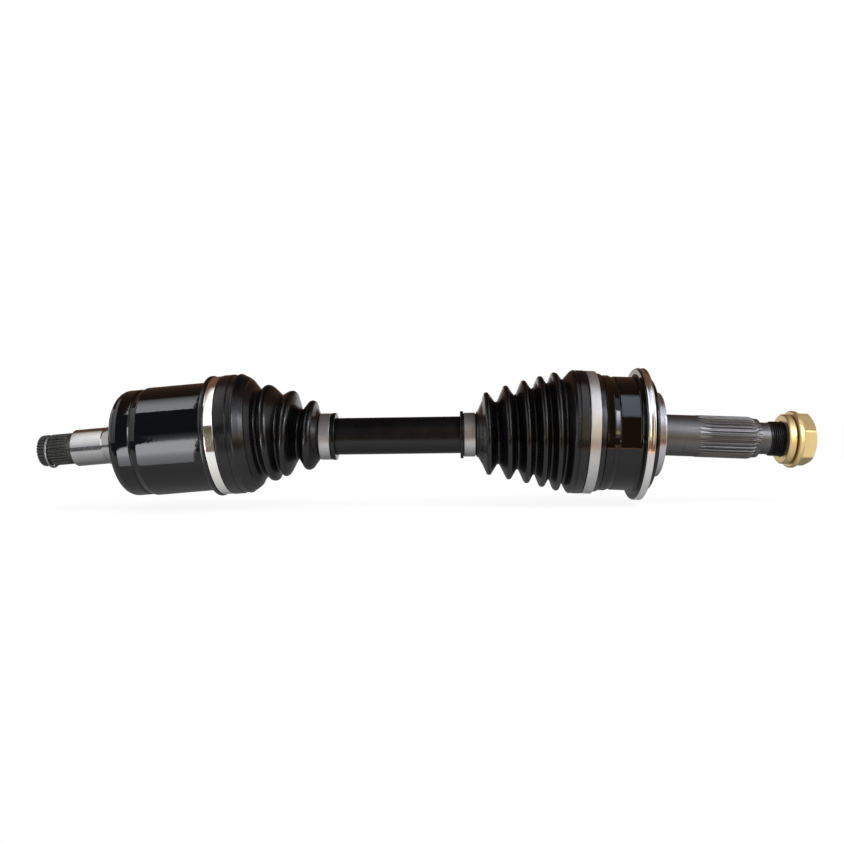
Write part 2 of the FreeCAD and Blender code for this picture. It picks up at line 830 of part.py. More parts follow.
def build_parts():
    outer_race_sphere = outer_cage_radius - outer_cage_wall - sphere_play
    inner_race_sphere = inner_cage_radius - inner_cage_wall - sphere_play
    ring_inside = race_seat_radius - ring_groove_depth + press_gap
    ring_start = race_half_width + 0.35
    ring = retaining_ring(ring_start, ring_inside, race_seat_radius + 1.6, 1.5, 5.0)
    side_balls = (1, 2, 4, 5)
    return {
        "axle_shaft": axle_shaft(),
        "outer_inner_race": placed(
            inner_race(outer_race_sphere, outer_pitch_radius, outer_ball_radius, outer_side_float),
            outer.shaft(),
        ),
        "outer_race_ring": placed(ring.copy(), outer.shaft()),
        "outer_cage": placed(
            cage(
                outer_cage_radius,
                outer_cage_wall,
                outer_cage_half_width,
                outer_ball_radius,
                outer_pitch_radius,
                outer_side_float,
            ),
            outer.cage(),
        ),
        "outer_balls": placed(balls(outer_ball_radius, outer_pitch_radius, side_balls), outer.cage()),
        "outer_back_ball": placed(balls(outer_ball_radius, outer_pitch_radius, (0,)), outer.ball_at_back()),
        "outer_front_ball": placed(balls(outer_ball_radius, outer_pitch_radius, (3,)), outer.ball_at_front()),
        "outer_joint_housing": placed(outer_joint_housing(), outer.housing()),
        "dust_deflector": placed(dust_deflector(), outer.housing()),
        "hub_washer": placed(hub_washer(), outer.housing()),
        "hub_nut": placed(hub_nut(), outer.housing()),
        "outer_boot": outer_boot(),
        "outer_large_clamp": placed(
            ear_clamp(outer_large_clamp_start, outer_large_clamp_width, outer_large_clamp_radius, -ear_turn),
            outer.housing(),
        ),
        "outer_small_clamp": placed(
            ear_clamp(
                outer_cuff_start + outer_cuff_lip_width,
                outer_small_clamp_width,
                outer_small_clamp_radius,
                -ear_turn,
            ),
            outer.shaft(),
        ),
        "inner_inner_race": placed(
            inner_race(inner_race_sphere, inner_pitch_radius, inner_ball_radius, inner_side_float),
            inner.shaft(),
        ),
        "inner_race_ring": placed(ring.copy(), inner.shaft()),
        "inner_cage": placed(
            cage(
                inner_cage_radius,
                inner_cage_wall,
                inner_cage_half_width,
                inner_ball_radius,
                inner_pitch_radius,
                inner_side_float,
            ),
            inner.cage(),
        ),
        "inner_balls": placed(balls(inner_ball_radius, inner_pitch_radius, side_balls), inner.cage()),
        "inner_back_ball": placed(balls(inner_ball_radius, inner_pitch_radius, (3,)), inner.ball_at_back()),
        "inner_front_ball": placed(balls(inner_ball_radius, inner_pitch_radius, (0,)), inner.ball_at_front()),
        "inner_joint_housing": placed(inner_joint_housing(), inner.housing()),
        "housing_snap_ring": placed(housing_snap_ring(), inner.housing()),
        "diff_circlip": placed(diff_circlip(), inner.housing()),
        "inner_boot": inner_boot(),
        "inner_large_clamp": placed(
            ear_clamp(inner_large_clamp_start, inner_large_clamp_width, inner_large_clamp_radius, ear_turn),
            inner.housing(),
        ),
        "inner_small_clamp": placed(
            ear_clamp(
                inner_cuff_start + inner_cuff_lip_width,
                inner_small_clamp_width,
                inner_small_clamp_radius,
                ear_turn,
            ),
            inner.shaft(),
        ),
    }


os.makedirs("parts", exist_ok=True)
for name, shape in build_parts().items():
    shape.exportStep(f"parts/{name}.step")
    print(f"{name}: {len(shape.Solids)} solid(s), {shape.Volume / 1000:.1f} cm3, valid {shape.isValid()}")
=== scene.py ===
"""Front drive axle of a four-wheel-drive car: detailed shells and finishes over the CAD frame.

Sizes are in millimetres where a field says so, and everything is built in metres.
"""

import json
import logging
import math
from dataclasses import dataclass, field
from enum import Enum

import bmesh
import bpy
from mathutils import Matrix, Quaternion, Vector


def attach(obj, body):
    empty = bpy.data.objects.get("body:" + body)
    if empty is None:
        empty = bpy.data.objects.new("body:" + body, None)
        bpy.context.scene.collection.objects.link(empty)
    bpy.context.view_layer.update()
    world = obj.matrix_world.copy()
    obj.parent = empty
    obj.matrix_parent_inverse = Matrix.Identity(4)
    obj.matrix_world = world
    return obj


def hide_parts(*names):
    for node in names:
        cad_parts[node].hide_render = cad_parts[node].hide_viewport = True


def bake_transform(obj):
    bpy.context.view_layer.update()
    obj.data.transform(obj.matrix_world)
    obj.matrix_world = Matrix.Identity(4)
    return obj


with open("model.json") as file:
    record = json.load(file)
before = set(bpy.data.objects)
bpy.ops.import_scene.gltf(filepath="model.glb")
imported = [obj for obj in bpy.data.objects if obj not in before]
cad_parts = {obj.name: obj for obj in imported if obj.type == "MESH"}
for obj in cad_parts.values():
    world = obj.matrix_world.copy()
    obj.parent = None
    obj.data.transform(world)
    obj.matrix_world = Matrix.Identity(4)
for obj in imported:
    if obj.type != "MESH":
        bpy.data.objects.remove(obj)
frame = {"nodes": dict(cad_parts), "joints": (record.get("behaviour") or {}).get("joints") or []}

LOG = logging.getLogger("axle")
MM = 0.001
SEGMENTS = 168  # round the turned shells and the boots
SHARP_ANGLE = math.radians(31.0)  # turned edges steeper than this stay hard
TOOTH_SHARP_ANGLE = math.radians(40.0)
GRAIN_NAME = "turned"  # the attribute that holds a piece's own coordinates

Colour = tuple[float, float, float]
Stops = list[tuple[float, Colour]]
OutlinePoint = tuple[float, float, int]


# ---------------------------------------------------------------- shaders


class Pattern(Enum):
    """Which coordinates a finish reads."""

    OBJECT = "object"
    TURNED = "turned"


def filled_ramp(tree: bpy.types.NodeTree, stops: Stops) -> bpy.types.Node:
    """A colour ramp with its stops set.

    Args:
        tree: the material's tree.
        stops: places and their colours.

    Returns:
        The ramp's node.
    """
    ramp = tree.nodes.new("ShaderNodeValToRGB")
    elements = ramp.color_ramp.elements
    while len(elements) < len(stops):
        elements.new(0.5)
    for element, (where, colour) in zip(elements, stops):
        element.position = where
        element.color = (*colour, 1.0)
    return ramp


class Shader:
    """A material under construction around one Principled shader."""

    def __init__(self, name: str) -> None:
        """Start an empty material.

        Args:
            name: the material's name.
        """
        self.material = bpy.data.materials.new(name)
        self.material.use_nodes = True
        self.tree = self.material.node_tree
        self.tree.nodes.clear()
        self.surface = self.add("ShaderNodeBsdfPrincipled")
        output = self.add("ShaderNodeOutputMaterial")
        self.join(self.surface.outputs["BSDF"], output.inputs["Surface"])

    def add(self, kind: str, **settings: object) -> bpy.types.Node:
        """Add a node and set its properties.

        Args:
            kind: the node's type name.
            settings: properties of the node.

        Returns:
            The new node.
        """
        node = self.tree.nodes.new(kind)
        for key, value in settings.items():
            setattr(node, key, value)
        return node

    def join(self, source: bpy.types.NodeSocket, target: bpy.types.NodeSocket) -> None:
        """Link two sockets."""
        self.tree.links.new(source, target)

    def steady(self, **values: object) -> None:
        """Set numbers that are the same all over the surface.

        Args:
            values: socket names with underscores for spaces, and their values.
        """
        for key, value in values.items():
            socket = self.surface.inputs[key.replace("_", " ")]
            socket.default_value = (*value, 1.0) if isinstance(value, tuple) else value

    def place(self, pattern: Pattern, scale: Colour) -> bpy.types.NodeSocket:
        """Pattern coordinates, scaled along each axis.

        Args:
            pattern: object space, or the piece's own turned coordinates.
            scale: factors along the three axes, per metre.

        Returns:
            The scaled vector.
        """
        mapping = self.add("ShaderNodeMapping")
        mapping.inputs["Scale"].default_value = scale
        if pattern is Pattern.TURNED:
            source = self.add("ShaderNodeAttribute", attribute_name=GRAIN_NAME).outputs["Vector"]
        else:
            source = self.add("ShaderNodeTexCoord").outputs["Object"]
        self.join(source, mapping.inputs["Vector"])
        return mapping.outputs["Vector"]

    def noise(
        self, vector: bpy.types.NodeSocket, scale: float = 1.0, detail: float = 3.0
    ) -> bpy.types.NodeSocket:
        """Soft noise between 0 and 1.

        Args:
            vector: where it is read.
            scale: the noise's own scale.
            detail: how many octaves.

        Returns:
            The noise's value.
        """
        node = self.add("ShaderNodeTexNoise")
        node.inputs["Scale"].default_value = scale
        node.inputs["Detail"].default_value = detail
        self.join(vector, node.inputs["Vector"])
        return node.outputs["Fac"]

    def shades(self, amount: bpy.types.NodeSocket, stops: Stops) -> bpy.types.NodeSocket:
        """Colours along a ramp.

        Args:
            amount: the place on the ramp.
            stops: places and their colours.

        Returns:
            The colour.
        """
        ramp = filled_ramp(self.tree, stops)
        self.join(amount, ramp.inputs["Fac"])
        return ramp.outputs["Color"]

    def span(
        self,
        amount: bpy.types.NodeSocket,
        low: float,
        high: float,
        start: float = 0.3,
        end: float = 0.7,
    ) -> bpy.types.NodeSocket:
        """A value carried from one range to another.

        Args:
            amount: the value.
            low: the result at start.
            high: the result at end.
            start: the lower value read.
            end: the upper value read.

        Returns:
            The new value.
        """
        node = self.add("ShaderNodeMapRange")
        for name, value in (
            ("From Min", start),
            ("From Max", end),
            ("To Min", low),
            ("To Max", high),
        ):
            node.inputs[name].default_value = value
        self.join(amount, node.inputs["Value"])
        return node.outputs["Result"]

    def merge(
        self, first: bpy.types.NodeSocket, second: bpy.types.NodeSocket, share: float = 0.5
    ) -> bpy.types.NodeSocket:
        """Two values weighed together.

        Args:
            first: one value.
            second: the other.
            share: the weight of the second.

        Returns:
            The mixed value.
        """
        node = self.add("ShaderNodeMix")
        node.inputs["Factor"].default_value = share
        self.join(first, node.inputs["A"])
        self.join(second, node.inputs["B"])
        return node.outputs["Result"]

    def relief(self, height: bpy.types.NodeSocket, depth: float, strength: float = 1.0) -> None:
        """Bump the surface.

        Args:
            height: the height between 0 and 1.
            depth: its depth in metres.
            strength: how strongly it shows.
        """
        bump = self.add("ShaderNodeBump")
        bump.inputs["Strength"].default_value = strength
        bump.inputs["Distance"].default_value = depth
        self.join(height, bump.inputs["Height"])
        self.join(bump.outputs["Normal"], self.surface.inputs["Normal"])


@dataclass(frozen=True)
class Paint:
    """Sprayed enamel: even colour, light haze, orange peel and a little dust in it."""

    name: str
    colour: Colour
    haze: Colour
    roughness: tuple[float, float] = (0.04, 0.07)
    peel: float = 0.00002
    shine: float = 0.36

    def material(self) -> bpy.types.Material:
        """Build the finish.

        Returns:
            The material.
        """
        shader = Shader(self.name)
        even = shader.place(Pattern.OBJECT, (1.0, 1.0, 1.0))
        cloud = shader.noise(even, 60.0, 4.0)
        speck = shader.noise(even, 2600.0, 2.0)
        mixed = shader.merge(cloud, speck, 0.35)
        colour = shader.shades(mixed, [(0.35, self.colour), (0.72, self.haze)])
        shader.join(colour, shader.surface.inputs["Base Color"])
        rough = shader.span(mixed, self.roughness[0], self.roughness[1])
        shader.join(rough, shader.surface.inputs["Roughness"])
        shader.steady(Specular_IOR_Level=self.shine)
        shader.relief(shader.noise(even, 420.0, 1.0), self.peel)
        return shader.material


@dataclass(frozen=True)
class Metal:
    """Bare or plated metal: two shades, fine grain along the cut and a little unevenness."""

    name: str
    light: Colour
    dark: Colour
    roughness: tuple[float, float] = (0.22, 0.34)
    metallic: float = 1.0
    grain: Colour = (2600.0, 90.0, 90.0)
    grain_depth: float = 0.00001
    cloud: float = 70.0
    pattern: Pattern = Pattern.TURNED
    stops: tuple[float, float] = (0.32, 0.68)

    def material(self) -> bpy.types.Material:
        """Build the finish.

        Returns:
            The material.
        """
        shader = Shader(self.name)
        lines = shader.noise(shader.place(self.pattern, self.grain), 1.0, 3.0)
        cloud = shader.noise(shader.place(Pattern.OBJECT, (1.0, 1.0, 1.0)), self.cloud, 4.0)
        mixed = shader.merge(lines, cloud, 0.55)
        colour = shader.shades(mixed, [(self.stops[0], self.dark), (self.stops[1], self.light)])
        shader.join(colour, shader.surface.inputs["Base Color"])
        rough = shader.span(lines, self.roughness[0], self.roughness[1])
        shader.join(rough, shader.surface.inputs["Roughness"])
        shader.steady(Metallic=self.metallic)
        shader.relief(lines, self.grain_depth)
        return shader.material


@dataclass(frozen=True)
class Passivate:
    """Yellow-passivated zinc: gold that drifts to olive and rose."""

    name: str
    gold: Colour
    olive: Colour
    rose: Colour
    roughness: tuple[float, float] = (0.14, 0.24)

    def material(self) -> bpy.types.Material:
        """Build the finish.

        Returns:
            The material.
        """
        shader = Shader(self.name)
        even = shader.place(Pattern.OBJECT, (1.0, 1.0, 1.0))
        drift = shader.noise(even, 75.0, 3.0)
        grain = shader.noise(even, 1500.0, 3.0)
        mixed = shader.merge(drift, grain, 0.2)
        colour = shader.shades(mixed, [(0.34, self.olive), (0.5, self.gold), (0.68, self.rose)])
        shader.join(colour, shader.surface.inputs["Base Color"])
        rough = shader.span(grain, self.roughness[0], self.roughness[1])
        shader.join(rough, shader.surface.inputs["Roughness"])
        shader.steady(Metallic=1.0)
        shader.relief(grain, 0.000012)
        return shader.material


@dataclass(frozen=True)
class Rubber:
    """Moulded rubber: near black, satin, with a dusty bloom and fine mould grain."""

    name: str
    colour: Colour
    bloom: Colour
    roughness: tuple[float, float] = (0.20, 0.30)

    def material(self) -> bpy.types.Material:
        """Build the finish.

        Returns:
            The material.
        """
        shader = Shader(self.name)
        even = shader.place(Pattern.OBJECT, (1.0, 1.0, 1.0))
        bloom = shader.noise(even, 90.0, 5.0)
        grain = shader.noise(even, 1900.0, 2.0)
        rings = shader.noise(shader.place(Pattern.TURNED, (1500.0, 12.0, 12.0)), 1.0, 2.0)
        mixed = shader.merge(bloom, rings, 0.3)
        colour = shader.shades(mixed, [(0.42, self.colour), (0.75, self.bloom)])
        shader.join(colour, shader.surface.inputs["Base Color"])
        rough = shader.span(mixed, self.roughness[0], self.roughness[1])
        shader.join(rough, shader.surface.inputs["Roughness"])
        shader.steady(Specular_IOR_Level=0.42)
        shader.relief(shader.merge(grain, rings, 0.4), 0.00002)
        return shader.material


class Finish(Enum):
    """Every finish on the axle."""

    GLOSS_BLACK = Paint(
        "gloss_black",
        colour=(0.0012, 0.0012, 0.0016),
        haze=(0.003, 0.003, 0.0035),
    )
    SATIN_BLACK = Paint(
        "satin_black",
        colour=(0.0020, 0.0020, 0.0020),
        haze=(0.0055, 0.0052, 0.0050),
        roughness=(0.22, 0.34),
        peel=0.00006,
        shine=0.42,
    )
    PHOSPHATE = Metal(
        "dark_phosphate",
        light=(0.135, 0.131, 0.133),
        dark=(0.098, 0.095, 0.096),
        roughness=(0.34, 0.42),
        metallic=0.85,
        grain=(900.0, 60.0, 60.0),
        grain_depth=0.0000015,
    )
    OILED_STEEL = Metal(
        "oiled_steel",
        light=(0.085, 0.086, 0.078),
        dark=(0.040, 0.041, 0.036),
        roughness=(0.34, 0.44),
        metallic=0.85,
        grain=(900.0, 60.0, 60.0),
        grain_depth=0.000002,
    )
    BLACK_OXIDE = Metal(
        "black_oxide",
        light=(0.022, 0.022, 0.024),
        dark=(0.010, 0.010, 0.012),
        roughness=(0.30, 0.42),
        metallic=0.7,
    )
    GROUND_STEEL = Metal(
        "ground_steel",
        light=(0.40, 0.395, 0.39),
        dark=(0.34, 0.335, 0.33),
        roughness=(0.12, 0.18),
        grain=(5200.0, 30.0, 30.0),
        grain_depth=0.000002,
    )
    TURNED_STEEL = Metal(
        "turned_steel",
        light=(0.46, 0.45, 0.47),
        dark=(0.36, 0.35, 0.37),
        roughness=(0.22, 0.30),
        grain=(3600.0, 20.0, 20.0),
        grain_depth=0.000004,
    )
    ZINC = Metal(
        "bright_zinc",
        light=(0.64, 0.63, 0.61),
        dark=(0.54, 0.53, 0.51),
        roughness=(0.15, 0.22),
        grain=(1800.0, 40.0, 40.0),
        grain_depth=0.000002,
    )
    BAND_STEEL = Metal(
        "band_steel",
        light=(0.56, 0.55, 0.54),
        dark=(0.44, 0.43, 0.43),
        roughness=(0.32, 0.42),
        metallic=0.85,
        grain=(4200.0, 15.0, 15.0),
        grain_depth=0.000005,
    )
    POLISHED_BAND = Metal(
        "polished_band",
        light=(0.86, 0.85, 0.81),
        dark=(0.78, 0.77, 0.73),
        roughness=(0.08, 0.13),
        grain=(4200.0, 15.0, 15.0),
        grain_depth=0.0000015,
    )
    SPRING_STEEL = Metal(
        "spring_steel",
        light=(0.016, 0.016, 0.017),
        dark=(0.007, 0.007, 0.008),
        roughness=(0.34, 0.46),
        pattern=Pattern.OBJECT,
    )
    BALL_STEEL = Metal(
        "ball_steel",
        light=(0.68, 0.68, 0.70),
        dark=(0.60, 0.60, 0.62),
        roughness=(0.06, 0.12),
        grain=(300.0, 300.0, 300.0),
        grain_depth=0.000002,
        cloud=40.0,
        pattern=Pattern.OBJECT,
    )
    RACE_STEEL = Metal(
        "race_steel",
        light=(0.50, 0.50, 0.51),
        dark=(0.36, 0.36, 0.37),
        roughness=(0.18, 0.30),
        grain=(2200.0, 400.0, 400.0),
        grain_depth=0.000006,
        cloud=60.0,
        pattern=Pattern.OBJECT,
    )
    CAGE_STEEL = Metal(
        "cage_steel",
        light=(0.26, 0.255, 0.25),
        dark=(0.15, 0.148, 0.145),
        roughness=(0.30, 0.44),
        grain=(1600.0, 700.0, 700.0),
        cloud=60.0,
        pattern=Pattern.OBJECT,
    )
    YELLOW_ZINC = Passivate(
        "yellow_zinc",
        gold=(0.84, 0.61, 0.20),
        olive=(0.66, 0.57, 0.24),
        rose=(0.86, 0.56, 0.24),
        roughness=(0.10, 0.18),
    )
    RUBBER = Rubber(
        "boot_rubber",
        colour=(0.0016, 0.0016, 0.0019),
        bloom=(0.0055, 0.0055, 0.006),
    )

    def made(self) -> bpy.types.Material:
        """The finish's material, built once."""
        found = bpy.data.materials.get(self.value.name)
        return found or self.value.material()


# ---------------------------------------------------------------- places


@dataclass
class Seat:
    """A place on the axle with its own outward axis: x outward along it, z up."""

    centre: Vector
    outward: Vector
    upward: Vector

    def turn(self) -> Quaternion:
        """Rotation from the piece's own axes to the frame's."""
        side = self.upward.cross(self.outward)
        return Matrix((self.outward, side, self.upward)).transposed().to_quaternion()

    def matrix(self) -> Matrix:
        """Place of the piece's own axes in the frame."""
        return Matrix.Translation(self.centre) @ self.turn().to_matrix().to_4x4()


@dataclass
class Joint:
    """A joint of the axle: its end of the bar, and the housing that hangs at an angle to it."""

    centre: Vector
    bar: Seat
    housing: Seat

    @classmethod
    def read(cls, slide: str, last_hinge: str, slide_sign: float = 1.0) -> "Joint":
        """Find a joint from the frame's own axes.

        Args:
            slide: the joint that slides along the housing.
            last_hinge: the hinge next to the housing, which stands at its centre.
            slide_sign: 1 where the slide's axis points out of the bar's end.

        Returns:
            The joint.
        """
        joints = {joint["name"]: joint for joint in frame["joints"]}
        hinge = joints[last_hinge]
        centre = Vector(hinge["pos_m"])
        outward = Vector(joints[slide]["axis"]).normalized() * slide_sign
        upward = Vector(hinge["axis"]).normalized()
        along = Vector((math.copysign(1.0, centre.x), 0.0, 0.0))
        bar = Seat(centre, along, Vector((0.0, 0.0, 1.0)))
        return cls(centre, bar, Seat(centre, outward, upward))

    def bent(self, share: float) -> Matrix:
        """Place after a share of the rest angle between the bar and the housing."""
        turn = self.bar.turn().slerp(self.housing.turn(), share)
        return Matrix.Translation(self.centre) @ turn.to_matrix().to_4x4()

    def hang(self) -> tuple[float, float]:
        """How far the housing hangs from the bar at rest.

        Returns:
            Its pitch about Y and its yaw about Z, in radians.
        """
        pointing = self.housing.outward * self.bar.outward.x
        return -math.asin(pointing.z), math.atan2(pointing.y, pointing.x)


# ---------------------------------------------------------------- meshes


@dataclass
class Corner:
    """A corner of an outline: place along the axis, radius, rounding, and the finish after it."""

    x: float
    r: float
    rounding: float = 0.25
    finish: int = 0


def sampled(corners: list[Corner], loop: bool, step: float = 14.0) -> list[OutlinePoint]:
    """Turn an outline with rounded corners into points.

    Args:
        corners: the outline, in millimetres.
        loop: whether the last corner joins the first.
        step: degrees between points on a rounding.

    Returns:
        Places along the axis, radii and finishes, in millimetres.
    """
    points: list[OutlinePoint] = []
    count = len(corners)
    for index, corner in enumerate(corners):
        here = Vector((corner.x, corner.r))
        if not loop and index in (0, count - 1):
            points.append((corner.x, corner.r, corner.finish))
            continue
        before = corners[index - 1]
        after = corners[(index + 1) % count]
        back = Vector((before.x, before.r)) - here
        ahead = Vector((after.x, after.r)) - here
        half = back.angle(ahead) / 2
        longest = 0.45 * min(back.length, ahead.length)
        trim = min(corner.rounding / math.tan(half), longest) if half < 1.5 else 0.0
        if trim < 0.01:
            points.append((corner.x, corner.r, corner.finish))
            continue
        radius = trim * math.tan(half)
        bisector = (back.normalized() + ahead.normalized()).normalized()
        middle = here + bisector * (radius / math.sin(half))
        enter = here + back.normalized() * trim - middle
        sweep = math.pi - 2 * half
        side = math.copysign(1.0, enter.x * (here - middle).y - enter.y * (here - middle).x)
        steps = max(2, math.ceil(math.degrees(sweep) / step))
        for number in range(steps + 1):
            angle = side * sweep * number / steps
            spot = middle + Matrix.Rotation(angle, 2) @ enter
            last = number == steps
            points.append((spot.x, spot.y, corner.finish if last else before.finish))
    return supported(points, loop)


def supported(
    points: list[OutlinePoint], loop: bool, margin: float = 0.22
) -> list[OutlinePoint]:
    """Add points near the ends of long straight stretches, so that they shade flat.

    Args:
        points: places along the axis, radii and finishes, in millimetres.
        loop: whether the last point joins the first.
        margin: how far from the ends, in millimetres.

    Returns:
        The points with the new ones between them.
    """
    result: list[OutlinePoint] = []
    count = len(points)
    for index, (x, r, finish) in enumerate(points):
        result.append((x, r, finish))
        if index == count - 1 and not loop:
            break
        to_x, to_r, _ = points[(index + 1) % count]
        length = math.hypot(to_x - x, to_r - r)
        if length > 5 * margin:
            for share in (margin / length, 1 - margin / length):
                result.append((x + (to_x - x) * share, r + (to_r - r) * share, finish))
    return result


@dataclass
class Piece:
    """A finished mesh and what it stands for."""

    name: str
    body: str
    slot: str
    replaces: tuple[str, ...] = ()
    thing: bpy.types.Object | None = None

    def settle(self) -> bpy.types.Object:
        """Tie the piece to its body, hide the CAD nodes it stands for, and say so.

        Returns:
            The piece's object.
        """
        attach(self.thing, self.body)
        self.declare()
        return self.thing

    def declare(self) -> None:
        """Hide the CAD nodes that the piece stands for, and log its face count."""
        if self.replaces:
            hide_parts(*self.replaces)
        LOG.info("%s: %d faces", self.name, len(self.thing.data.polygons))


def mesh_object(
    name: str,
    vertices: list[Vector],
    faces: list[tuple[int, ...]],
    finishes: list[Finish],
    face_finishes: list[int] | None = None,
    grain: list[Vector] | None = None,
    recalculate: bool = True,
) -> bpy.types.Object:
    """Make a smooth-shaded object whose hard edges stay hard.

    Args:
        name: the piece's name.
        vertices: points in the frame, in metres.
        faces: corners of each face.
        finishes: the materials.
        face_finishes: which material each face takes.
        grain: the piece's own coordinates, for turned patterns.
        recalculate: whether the faces are turned to point outwards.

    Returns:
        The new object.
    """
    mesh = bpy.data.meshes.new(name)
    mesh.from_pydata([tuple(v) for v in vertices], [], faces)
    for finish in finishes:
        mesh.materials.append(finish.made())
    if face_finishes:
        mesh.polygons.foreach_set("material_index", face_finishes)
    turned = mesh.attributes.new(GRAIN_NAME, "FLOAT_VECTOR", "POINT")
    own = grain or vertices
    turned.data.foreach_set("vector", [value for point in own for value in point])
    if recalculate:
        work = bmesh.new()
        work.from_mesh(mesh)
        bmesh.ops.recalc_face_normals(work, faces=work.faces)
        work.to_mesh(mesh)
        work.free()
    mesh.shade_smooth()
    mesh.set_sharp_from_angle(angle=SHARP_ANGLE)
    mesh.update()
    thing = bpy.data.objects.new(name, mesh)
    bpy.context.scene.collection.objects.link(thing)
    return thing


def ring_spot(x: float, r: float, angle: float) -> Vector:
    """A point on a ring about the axis, from millimetres and radians to metres."""
    return Vector((x * MM, r * MM * math.cos(angle), r * MM * math.sin(angle)))


def woven(rows: int, across: int, loop: bool) -> list[tuple[int, ...]]:
    """Four-sided faces between rows of points whose ends meet.

    Args:
        rows: how many rows there are.
        across: how many points each row has.
        loop: whether the last row joins the first.

    Returns:
        The corners of each face.
    """
    faces: list[tuple[int, ...]] = []
    for row in range(rows if loop else rows - 1):
        low, high = row * across, (row + 1) % rows * across
        for number in range(across):
            following = (number + 1) % across
            faces.append((low + number, low + following, high + following, high + number))
    return faces


@dataclass
class Turned:
    """A piece turned about its axis from an outline."""

    corners: list[Corner]
    finishes: list[Finish]
    loop: bool = False
    segments: int = SEGMENTS
    step: float = 14.0

    def build(self, name: str, place: Matrix) -> bpy.types.Object:
        """Spin the outline.

        Args:
            name: the piece's name.
            place: where its own axes stand.

        Returns:
            The new object.
        """
        outline = sampled(self.corners, self.loop, self.step)
        vertices: list[Vector] = []
        rings: list[list[int]] = []
        for x, r, _ in outline:
            count = 1 if r < 1e-6 else self.segments
            ring = []
            for number in range(count):
                ring.append(len(vertices))
                vertices.append(ring_spot(x, r, 2 * math.pi * number / count))
            rings.append(ring)
        faces: list[tuple[int, ...]] = []
        kinds: list[int] = []
        last = len(rings) if self.loop else len(rings) - 1
        for index in range(last):
            low, high = rings[index], rings[(index + 1) % len(rings)]
            for number in range(self.segments):
                following = (number + 1) % self.segments
                if len(low) == 1 and len(high) == 1:
                    continue
                if len(low) == 1:
                    faces.append((low[0], high[following], high[number]))
                elif len(high) == 1:
                    faces.append((low[number], low[following], high[0]))
                else:
                    faces.append((low[number], low[following], high[following], high[number]))
                kinds.append(outline[index][2])
        placed = [place @ point for point in vertices]
        return mesh_object(name, placed, faces, self.finishes, kinds, vertices)


@dataclass
class HexTurned(Turned):
    """A turned piece whose second zone is cut to a hexagon with softly broken edges."""

    across_flats: float = 35.0
    corner_angle: float = 0.0
    edge: float = 0.16
    corner_break: float = 0.18

    def soft_least(self, first: float, second: float) -> float:
        """The smaller of two radii, rounded where they meet.

        Args:
            first: one radius.
            second: the other.

        Returns:
            The radius, in millimetres.
        """
        low = min(first, second)
        return low - self.edge * math.log(
            math.exp((low - first) / self.edge) + math.exp((low - second) / self.edge)
        )

    def flat_radius(self, angle: float) -> float:
        """Radius of the hexagon in a direction.

        Args:
            angle: the direction in radians.

        Returns:
            The radius in millimetres, its corners broken.
        """
        sixth = math.radians(60.0)
        off = (angle - math.radians(self.corner_angle + 30.0)) % sixth
        off = min(off, sixth - off)
        flat = self.across_flats / 2
        corner = flat / math.cos(sixth / 2) - self.corner_break
        return self.soft_least(flat / math.cos(off), corner)

    def build(self, name: str, place: Matrix) -> bpy.types.Object:
        """Spin the outline and cut its second zone.

        Args:
            name: the piece's name.
            place: where its own axes stand.

        Returns:
            The new object.
        """
        outline = []
        rough = sampled(self.corners, True, self.step)
        for index, (x, r, zone) in enumerate(rough):
            outline.append((x, r, zone))
            to_x, to_r, _ = rough[(index + 1) % len(rough)]
            if zone == 1 and abs(to_r - r) > 0.5 and abs(to_x - x) > 0.2:
                for number in range(1, 16):
                    share = number / 16
                    outline.append((x + (to_x - x) * share, r + (to_r - r) * share, 1))
        vertices = []
        for x, r, zone in outline:
            for number in range(self.segments):
                angle = 2 * math.pi * number / self.segments
                reach = self.soft_least(r, self.flat_radius(angle)) if zone == 1 else r
                vertices.append(ring_spot(x, reach, angle))
        faces = woven(len(outline), self.segments, True)
        placed = [place @ point for point in vertices]
        return mesh_object(name, placed, faces, self.finishes, None, vertices)


# ---------------------------------------------------------------- repeating features


